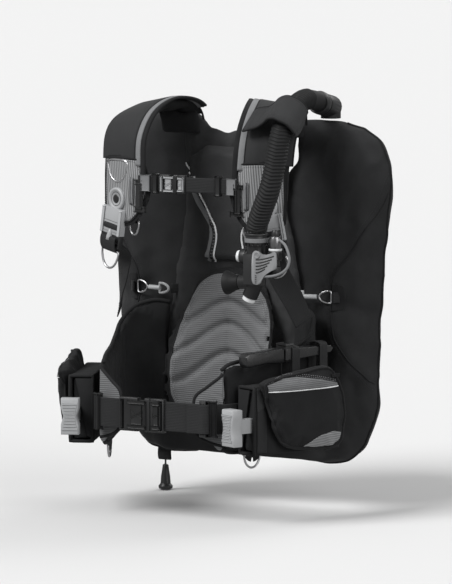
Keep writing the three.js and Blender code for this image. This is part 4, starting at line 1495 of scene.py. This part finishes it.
def make_inflator():
    ring_at("inflator_collar", [(15, -1.4), (18.4, -1.4), (19.2, -0.4), (19.2, 1.4), (18.4, 2.4),
                                (15, 2.4)], 137, BLACK_PLASTIC)
    ring_at("inflator_band", [(15, -3.5), (18.9, -3.5), (19.3, -3), (19.3, 3), (18.9, 3.5),
                              (15, 3.5)], 128, GREY_RUBBER)
    grips = grip_ring("inflator_collar_grips", 14, (2.6, 2.4, 3.4),
                      INFLATOR + Vector((0, 0, 121.5)), 17.8)
    piece(grips, GLOSS_PLASTIC, sharp=40)
    front = Plane((0, -247.4, 0), (1, 0, 0), (0, 0, 1))
    plate = flat_plate("inflator_face_plate", FACE_PLATE, front, 3.0, 0.9)
    piece(plate, PLATE_PLASTIC, sharp=40)
    slots = []
    for index in range(5):
        height = 98 - index * 5.4
        marks = [(158 + share * (34 - index * 4.2), height + 7.5 * share ** 1.6)
                 for share in np.linspace(0, 1, 7)]
        slots.append(tube(f"slot_{index}", [front.at(u, v, 3.0) for u, v in marks], 1.05 * MM, 8))
    for index in range(5):
        place = front.at(156.4, 71.5 - index * 2.9, 3.0)
        slots.append(tube(f"dot_{index}", [place, place + Vector((2.6, 0, 0)) * MM], 0.7 * MM, 8))
    piece(fused("inflator_face_slots", slots), BLACK_PLASTIC)
    hub = lathe("inflator_face_hub", [(0.3, 0), (5.4, 0), (5.4, 2.6), (4.6, 3.4), (3.6, 3.0), (0.3, 3.0)],
                front.mm(160.5, 105.5, 1.2), front.out, 28)
    piece(hub, PLATE_PLASTIC, sharp=40)
    boss = INFLATOR + Vector((-16, 0, 100))
    rim = lathe("inflate_button_shroud", [(10.2, 5), (10.2, 11.0), (10.9, 11.8), (12.2, 11.4), (13.3, 8),
                                          (13.5, 0), (10.2, 0)], boss, (-1, 0, 0), 40)
    piece(rim, BLACK_PLASTIC, sharp=35)
    valve = Vector((182, -228, 0))
    rings = [("coupling_sleeve", [(7, 96), (10.4, 96), (11.0, 97), (11.0, 110), (10.2, 111.5), (7, 111.5)],
              BLACK_PLASTIC),
             ("coupling_ring",
              [(7, 112), (10.6, 112), (11.0, 112.6), (11.0, 115), (10.6, 115.6), (7, 115.6)],
              WHITE_PLASTIC),
             ("coupling_nut", [(5, 116), (9.4, 116), (10.0, 117), (10.0, 131), (8.6, 135), (5, 136)],
              DULL_STEEL),
             ("coupling_spout", [(3, 136), (6.2, 136), (6.6, 138), (6.2, 143), (4.8, 146), (3, 146)],
              BLACK_PLASTIC)]
    for name, profile, material in rings:
        piece(lathe(name, profile, valve, (0, 0, 1), 40), material, sharp=35)
    knurls = grip_ring("coupling_knurls", 16, (1.7, 1.6, 11), valve + Vector((0, 0, 103.5)), 11, 2)
    piece(knurls, BLACK_PLASTIC, sharp=40)
    keeper = [(190, -230, 131), (203, -233, 123), (211, -236, 110), (214, -238, 98), (211, -240, 86),
              (201, -243, 77), (187, -246, 72), (172, -247.5, 70.5)]
    loop = tube("inflator_keeper", [Vector(p) * MM for p in spline(keeper, 3)], 2.3 * MM, 12)
    piece(loop, GREY_RUBBER)


make_hose()
make_hose_flap()
make_inflator()


# ---------------------------------------------------------------- waist and chest webbing

WAIST_HEIGHT = -163
CHEST_HEIGHT = 211


def make_waist_webbing():
    bend = [(104, -312), (118, -302), (129, -285), (134.5, -270), (146, -243)]
    right = [(-16, -313), (-40, -313), (-62, -313), (-80, -312.5)] + [(-x, y) for x, y in bend]
    left = [(12, -313), (28, -313), (50, -313), (84, -313), (95, -312.5)] + bend
    for side_name, marks in (("right", right), ("left", left)):
        strip = webbing(f"waist_strap_{side_name}", [(x, y, WAIST_HEIGHT) for x, y in marks],
                        (0, 0, 1), 49, 2.4)
        piece(strip, WEBBING, "root", [f"waist_webbing_{side_name}"])
        if side_name == "left":
            strip.parent = None
            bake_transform(strip, "waist_tongue", "root", start=(0.024, -0.313, -0.163),
                     end=(0.088, -0.313, -0.163))
    tail = webbing("waist_strap_tail", [(x, -317.2, WAIST_HEIGHT) for x in (66, 80, 88)]
                   + [(95, -319.6, WAIST_HEIGHT), (102, -317.4, WAIST_HEIGHT), (112, -311, WAIST_HEIGHT),
                      (121, -304, WAIST_HEIGHT)], (0, 0, 1), 49, 2.2)
    piece(tail, WEBBING)
    bar = block("waist_slide_bar", (6, 3, 50), (95, -316.4, WAIST_HEIGHT), bevel=1.2)
    piece(bar, BLACK_PLASTIC, sharp=40)
    for side_name, side in SIDES.items():
        middle = (110 * side, -309, WAIST_HEIGHT)
        across = (0.82 * side, 0.57, 0)
        keeper = block(f"waist_keeper_{side_name}", (13, 9, 58), middle, across, (0, 0, 1), 2.2)
        piece(keeper, BINDING, "root", (), "webbing", 40)
        for index, offset in enumerate((-4.5, 4.5)):
            place = Vector(middle) + Vector((0.82 * side, 0.57, 0)) * offset
            rib = block(f"waist_keeper_rib_{index}_{side_name}", (1.6, 10.4, 57), place, across,
                        (0, 0, 1), 0.7)
            piece(rib, WEBBING, sharp=40)


def make_chest_webbing():
    y = -200.5
    right = [(-34, y), (-50, y), (-70, y - 0.4), (-84, y - 1.2), (-95, y - 2.5)]
    left = [(-10, y), (0, y), (20, y), (50, y), (70, y - 0.4), (84, y - 1.2), (95, y - 2.5)]
    for side_name, marks in (("right", right), ("left", left)):
        strip = webbing(f"chest_strap_{side_name}", [(x, py, CHEST_HEIGHT) for x, py in marks],
                        (0, 0, 1), 25, 2.2)
        piece(strip, WEBBING, "root", [f"chest_webbing_{side_name}"])
        if side_name == "left":
            strip.parent = None
            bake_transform(strip, "chest_tongue", "root", start=(-0.003, y * MM, 0.211),
                     end=(0.052, y * MM, 0.211))
    for name, x, width in (("left", 58, 9), ("right", -63, 8)):
        keeper = block(f"chest_keeper_{name}", (width, 6.5, 31), (x, y, CHEST_HEIGHT), bevel=1.6)
        piece(keeper, BLACK_PLASTIC, sharp=40)
    for name, x in (("left", 84), ("right", -82)):
        hem = block(f"chest_hem_{name}", (17, 4.6, 26.5), (x, y - 1.4, CHEST_HEIGHT), bevel=1.0)
        piece(hem, GREY_TRIM, sharp=40)


def buckle_face(name, place, size, material, body, pair):
    """Raised pads, release prongs and a cross rib on a side-release buckle's front."""
    width, height = size
    x, y, z = place
    parts = [block(f"{name}_pad", (width * 0.5, 1.8, height * 0.62), (x, y, z), bevel=0.8)]
    for sign in (-1, 1):
        parts.append(block(f"{name}_prong_{sign}", (width * 0.86, 2.2, height * 0.10),
                           (x, y, z + sign * height * 0.40), bevel=0.8))
        parts.append(block(f"{name}_brace_{sign}", (width * 0.62, 1.6, 1.6), (x, y - 0.6, z),
                           (math.cos(0.5), 0, sign * math.sin(0.5)),
                           (-sign * math.sin(0.5), 0, math.cos(0.5)), 0.5))
    piece(fused(name, parts), material, body, sharp=40)
    for index, offset in enumerate(pair):
        bar = block(f"{name}_bar_{index}", (2.6, 3.0, height * 0.86), (x + offset, y + 0.8, z),
                    bevel=1.0)
        piece(bar, material, body, sharp=40)


def make_buckles():
    for name, x, size, body, bars in (("waist_socket_face", -30, (40, 52), "root", (-29, 17)),
                                      ("waist_tongue_face", 7, (18, 50), "waist_tongue", (8,))):
        buckle_face(name, (x, -319.4, WAIST_HEIGHT), size, BLACK_PLASTIC, body, bars)
    for name, x, size, body, bars in (("chest_socket_face", -36, (21, 28), "root", (-14,)),
                                      ("chest_tongue_face", -13, (12, 26), "chest_tongue", (5,))):
        buckle_face(name, (x, -204.9, CHEST_HEIGHT), size, GREY_PLASTIC, body, bars)


# ---------------------------------------------------------------- cummerbunds and pockets

BAND_STATIONS = [(120, -54, -200, -4), (148, -64, -205, -2), (174, -84, -212, -12),
                 (184, -112, -218, -34), (176, -142, -221, -52), (150, -201, -222, -66),
                 (122, -266, -222, -74), (113, -286, -214, -84)]
POCKET_OUT = Vector((0.9239, -0.3827, 0))
POCKET_BACK = Vector((0.3827, 0.9239, 0))
POCKET_CORNER = Vector((123, -266, 0))
CARGO_OUTLINE = [(2, -100), (15, -135), (28, -180), (52, -211), (100, -220), (150, -222),
                 (170, -210), (179, -165), (174, -130), (161, -100), (140, -79), (80, -85), (20, -93)]


def pocket_side(side):
    """The cargo pocket's outer face: u runs backward, v is height."""
    return Plane(POCKET_CORNER + POCKET_OUT * 80, POCKET_BACK, (0, 0, 1), side)


def pocket_front(side):
    """The weight pocket's mouth: u runs outward, v is height, and out is forward."""
    return Plane(POCKET_CORNER, POCKET_OUT, (0, 0, 1), side)


def make_band_trim(side_name, side):
    for edge, pick in (("top", 3), ("bottom", 2)):
        marks = spline([(station[0] * side, station[1], station[pick]) for station in BAND_STATIONS], 4)
        lip = tube(f"cummerbund_{edge}_binding_{side_name}", [Vector(p) * MM for p in marks], 3.4 * MM)
        piece(lip, BINDING)
    inner = Plane((152, -201, -140), (0.28, -0.96, 0), (0, 0, 1), side)
    tree = surface(SOFT["cummerbund_" + side_name])
    inner.out = -inner.out if side * inner.out.x > 0 else inner.out
    seam = [(-20, 60), (10, 66), (40, 64), (66, 58)]
    row = stitches(f"cummerbund_stitching_{side_name}", seam, inner, tree, 0.4)
    piece(row, DARK_THREAD)
    mesh_patch = patch(f"cummerbund_mesh_{side_name}",
                       [(36, -2), (74, 12), (82, -30), (70, -44), (52, -36)],
                       inner, tree, 0.8)
    piece(mesh_patch, PANEL_GREY)


BAND_END = [(4, 74), (0, 68), (-22, 51), (-43, 33), (-45, 0), (-43, -20), (-34, -33), (-16, -41), (4, -46)]


def make_band_end(side_name, side):
    """The corded mesh wing at the cummerbund's front end, narrowing behind the belt."""
    plane = Plane((113, -289, WAIST_HEIGHT), (0.97, 0.24, 0), (0, 0, 1), side)
    wing = flat_plate(f"cummerbund_end_{side_name}", BAND_END, plane, 3, 1)
    piece(wing, GREY_MESH, sharp=40)
    edge = [plane.at(u, v, 1.5) for u, v in spline(BAND_END, 4)]
    piece(tube(f"cummerbund_end_binding_{side_name}", edge, 3.0 * MM), BINDING)


def make_cargo_trim(side_name, side):
    plane = pocket_side(side)
    tree = surface(SOFT["cargo_pocket_" + side_name])
    name = f"cargo_{{}}_{side_name}".format
    inset = [(90 + (u - 90) * 0.955, -150 + (v + 150) * 0.93) for u, v in CARGO_OUTLINE]
    edge = cord_on(name("binding"), inset, plane, tree, 2.4, 0.3, closed=True)
    piece(edge, BINDING)
    arc = [(10, -104), (45, -95), (73, -94), (120, -101), (156, -109)]
    low = [(13, -115), (60, -116), (110, -116), (159, -115)]
    panel = patch(name("grey_panel"), arc + [(u, v) for u, v in reversed(low)], plane, tree, 0.9, 4.0)
    piece(panel, GREY_MESH)
    over = surface(SOFT["cargo_pocket_" + side_name], panel)
    for index, offset in enumerate((1.6, 4.4)):
        row = stitches(name(f"arc_stitching_{index}"), [(u, v + offset) for u, v in arc], plane, over,
                       0.5, radius=0.5)
        piece(row, THREAD)
    silver = cord_on(name("silver_line"), low, plane, over, 1.0, 0.6)
    piece(silver, PIPING)
    face_row = stitches(name("face_stitching"), [(90 + (u - 90) * 0.88, -150 + (v + 150) * 0.84)
                                                 for u, v in CARGO_OUTLINE[1:9]], plane, over, 0.5)
    piece(face_row, DARK_THREAD)
    mesh_patch = patch(name("drain_mesh"), [(88, -211), (104, -201), (120, -194), (146, -189),
                                            (164, -192), (160, -205), (147, -213), (118, -214)],
                       plane, tree, 1.0, 4.0)
    piece(mesh_patch, PALE_MESH)
    tab = block(name("zip_pull"), (16, 1.6, 5), plane.mm(152, -97, 2.2), plane.right, plane.up, 0.7)
    piece(tab, BINDING, sharp=40)


def make_weight_pocket_trim(side_name, side):
    front = pocket_front(side)
    name = f"weight_{{}}_{side_name}".format
    mouth = [(21, -110), (59, -110), (59, -220), (21, -220)]
    rim_points = []
    for a, b in zip(mouth, mouth[1:] + mouth[:1]):
        rim_points += [tuple(p) for p in resample([a, b], 5)[:-1]]
    rim = tube(name("mouth_binding"), [front.at(u, v, 0.6) for u, v in rim_points], 3.0 * MM, 8, True)
    piece(rim, BINDING)
    lid_side = Plane(POCKET_CORNER + POCKET_OUT * 60, POCKET_BACK, (0, 0, 1), side)
    tree = surface(SOFT["weight_pocket_" + side_name])
    flap = patch(name("top_flap"), [(2, -110), (60, -110), (52, -128), (4, -150)], lid_side, tree, 1.4)
    piece(flap, SMOOTH_CLOTH)
    band = tape_on(name("wall_band"), [(14, -112), (14, -160), (14, -218)], lid_side, tree, 20, 1.2)
    piece(band, WEBBING)
    body = f"pouch_{side_name}"
    pouch = copy_node(name("pouch_bag"), f"weight_pouch_{side_name}")
    remesh(pouch, 4 * MM)
    smooth(pouch, 4)
    wrinkle(pouch, 0.04, 0.0008, 1.0 + side)
    piece(pouch, BLACK_CLOTH, body, [f"weight_pouch_{side_name}"])
    tongue = [(19, -114), (50, -114), (44, -140), (38, -170), (30, -210), (24, -214)]
    sheet, _ = prism(tongue, front, 1.4, 3.4)
    panel = bevelled(name("pouch_tongue"), sheet, sheet.edges[:], 0.8, 2)
    piece(panel, BLACK_CLOTH, body, sharp=40)
    ribs = []
    for index in range(9):
        height = -151.5 - index * 5.25
        width = 17 + 8 * ((height + 172.5) / 21) ** 2
        ribs.append(block(f"rib_{index}", (width, 1.6, 2.6), front.mm(52, height, 52.0),
                          front.right, front.up, 0.7, 2))
    piece(fused(name("handle_ribs"), ribs), GREY_PLASTIC, body, sharp=40)


def make_ring_tabs(side_name, side):
    front = pocket_front(side)
    tab = webbing(f"waist_ring_tab_{side_name}",
                  [tuple(front.mm(-2, v, w)) for v, w in ((-200, -9), (-214, -23), (-224, -35),
                                                               (-229, -41), (-228, -47), (-221, -50),
                                                               (-205, -46))],
                  (POCKET_BACK.x * side, POCKET_BACK.y, 0), 24, 2.0, 2.0)
    piece(tab, WEBBING)


# ---------------------------------------------------------------- knife, trim clips, dump and tank band

def make_sheath_details():
    corner = POCKET_CORNER + POCKET_OUT * 27
    for index, run in enumerate((100, 158)):
        middle = corner + POCKET_BACK * run
        loop = []
        for across, height in ((-15, -58), (-13, -51.5), (0, -49.5), (13, -51.5), (15, -58), (15, -80),
                               (14.5, -104), (0, -107.5), (-14.5, -104), (-15, -80)):
            loop.append(middle + POCKET_OUT * across + Vector((0, 0, height + (run - 90) * 0.06)))
        marks = spline(loop + [loop[0]], 3)[:-1]
        stations = []
        for k, mark in enumerate(marks):
            along = Vector(marks[(k + 1) % len(marks)] - marks[k - 1]).normalized()
            stations.append((Vector(mark) * MM, POCKET_BACK, POCKET_BACK.cross(along)))
        band = section_sweep(f"sheath_loop_{index}", stations, webbing_section(16, 1.8), True)
        piece(band, WEBBING)
    for index, run in enumerate((84, 92)):
        height = -68 + run * 0.0612
        collar = block(f"sheath_collar_{index}", (25, 3.2, 24), corner + POCKET_BACK * run
                       + Vector((0, 0, height + 4.4)), POCKET_OUT, (0, 0, 1), 2.5)
        piece(collar, BLACK_PLASTIC, sharp=40)


def make_trim_details(side_name, side):
    tree = surface(SOFT["air_cell"], SOFT["jacket_back"])
    for index, (x, width) in enumerate(((117, 16), (196, 18))):
        tab = webbing(f"trim_tab_{index}_{side_name}",
                      [((x - 10 + 22 * index) * side, -38, 19), (x * side, -50, 19),
                       ((x + 1 - 2 * index) * side, -56, 19), ((x - 9 + 16 * index) * side, -46, 19)],
                      (0, 0, 1), width, 1.8, 2.0)
        piece(tab, WEBBING)
    patch_plane = Plane((196, -80, 19), (1, 0, 0), (0, 0, 1), side)
    anchor = patch(f"trim_patch_{side_name}", [(-6, -24), (14, -20), (17, 0), (14, 20), (-6, 24)],
                   patch_plane, tree, 1.2)
    piece(anchor, BINDING)


def make_wing_seams():
    tree = surface(SOFT["air_cell"])
    levels = [(0, -270), (120, -270), (176, -269), (202, -261), (224, -238), (251, -169), (257, -50),
              (268, 80), (283, 180), (280, 240), (258, 278), (230, 300), (190, 314)]
    for side_name, side in SIDES.items():
        marks = []
        for x, z in spline(levels, 5):
            guess = Vector((x * side, 8, z)) * MM
            found, normal, _, _ = tree.find_nearest(guess)
            marks.append(found + normal * 0.4 * MM)
        rim = tube(f"wing_edge_binding_{side_name}", marks, 2.2 * MM)
        piece(rim, BINDING)
        seam = [(x * side, z) for x, z in GUSSET_SEAM]
        cord = cord_on(f"gusset_piping_{side_name}", seam, FRONT, tree, 1.5, 0.3)
        piece(cord, BINDING)
        for index, offset in enumerate((5, 8)):
            row = stitches(f"gusset_stitching_{index}_{side_name}",
                           [(x - offset * side, z) for x, z in seam], FRONT, tree, 0.3, radius=0.35)
            piece(row, DARK_THREAD)
        back = Plane((0, 120, 0), (-1, 0, 0), (0, 0, 1))
        panel = [(-x * side * 0.78, z * 0.86) for x, z in levels[2:12]]
        rear = stitches(f"wing_back_stitching_{side_name}", panel, back, tree, 0.3, radius=0.4)
        piece(rear, DARK_THREAD)
        rear_cord = cord_on(f"wing_back_piping_{side_name}", [(u * 1.04, v * 1.02) for u, v in panel],
                            back, tree, 1.4, 0.2)
        piece(rear_cord, BINDING)


def make_tank_band():
    points = get_points(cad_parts["tank_band"]) / MM
    ring = points[points[:, 2] > points[:, 2].max() - 0.1]
    centre = np.array([0.0, 88.0])
    angles = np.round(np.arctan2(ring[:, 1] - centre[1], ring[:, 0] - centre[0]), 2)
    marks = [ring[angles == angle][:, :2].mean(0) for angle in np.unique(angles)]
    loop = resample(marks + [marks[0]], 5)[:-1]
    stations = []
    for k, mark in enumerate(loop):
        ahead, behind = loop[(k + 1) % len(loop)], loop[k - 1]
        along = Vector((*(ahead - behind), 0)).normalized()
        stations.append((Vector((*mark, 0)) * MM, Vector((0, 0, 1)), Vector((0, 0, 1)).cross(along)))
    band = section_sweep("tank_band_webbing", stations, webbing_section(50, 3.0), True)
    piece(band, WEBBING, "root", ["tank_band"])
    ribs = []
    for index in range(13):
        ribs.append(block(f"saddle_rib_{index}", (52, 1.6, 3.4), (0, -0.4, -66 + 11 * index),
                          bevel=0.7))
    piece(fused("saddle_ribs", ribs), RUBBER, sharp=40)


def make_dump_details():
    valve = Vector((-195, 53, -205))
    rings = [(8, 17.0), (13, 16.6), (19, 16.2)]
    for index, (radius, height) in enumerate(rings):
        ridge = lathe(f"dump_valve_ridge_{index}", [(radius - 1, height - 1), (radius - 0.6, height),
                                                    (radius + 0.6, height), (radius + 1, height - 1)],
                      valve, (0, 1, 0), 40)
        piece(ridge, BLACK_PLASTIC, sharp=35)
    grips = []
    for k in range(18):
        turn = 2 * math.pi * k / 18
        way = Vector((math.cos(turn), 0, math.sin(turn)))
        grips.append(block(f"dump_grip_{k}", (3, 5, 3), valve + way * 25 + Vector((0, 10, 0)),
                           Vector((way.z, 0, -way.x)), way, 0.9, 2))
    piece(fused("dump_valve_grips", grips), BLACK_PLASTIC, sharp=40)
    tab = webbing("dump_cord_tab", [(-181, 26, -262), (-180, 22, -276), (-179, 22, -286),
                                    (-179, 26, -287), (-180, 27, -274), (-181, 32, -262)],
                  (1, 0, 0), 24, 1.8, 2.0)
    piece(tab, WEBBING)
    ribs = []
    for index in range(4):
        ribs.append(lathe(f"knob_rib_{index}", [(7.4 - index * 0.8, -0.8), (8.6 - index * 0.8, 0),
                                                (7.4 - index * 0.8, 0.8)],
                          (-181, 30, -327 + index * 5), (0, 0, 1), 24))
    piece(fused("dump_knob_ribs", ribs), RUBBER, "dump_pull", sharp=40)


make_waist_webbing()
make_chest_webbing()
make_buckles()
for side_name, side in SIDES.items():
    make_band_trim(side_name, side)
    make_band_end(side_name, side)
    make_cargo_trim(side_name, side)
    make_weight_pocket_trim(side_name, side)
    make_ring_tabs(side_name, side)
    make_trim_details(side_name, side)
make_sheath_details()
make_wing_seams()
make_tank_band()
make_dump_details()


# ---------------------------------------------------------------- camera and studio

make_camera()
make_studio()
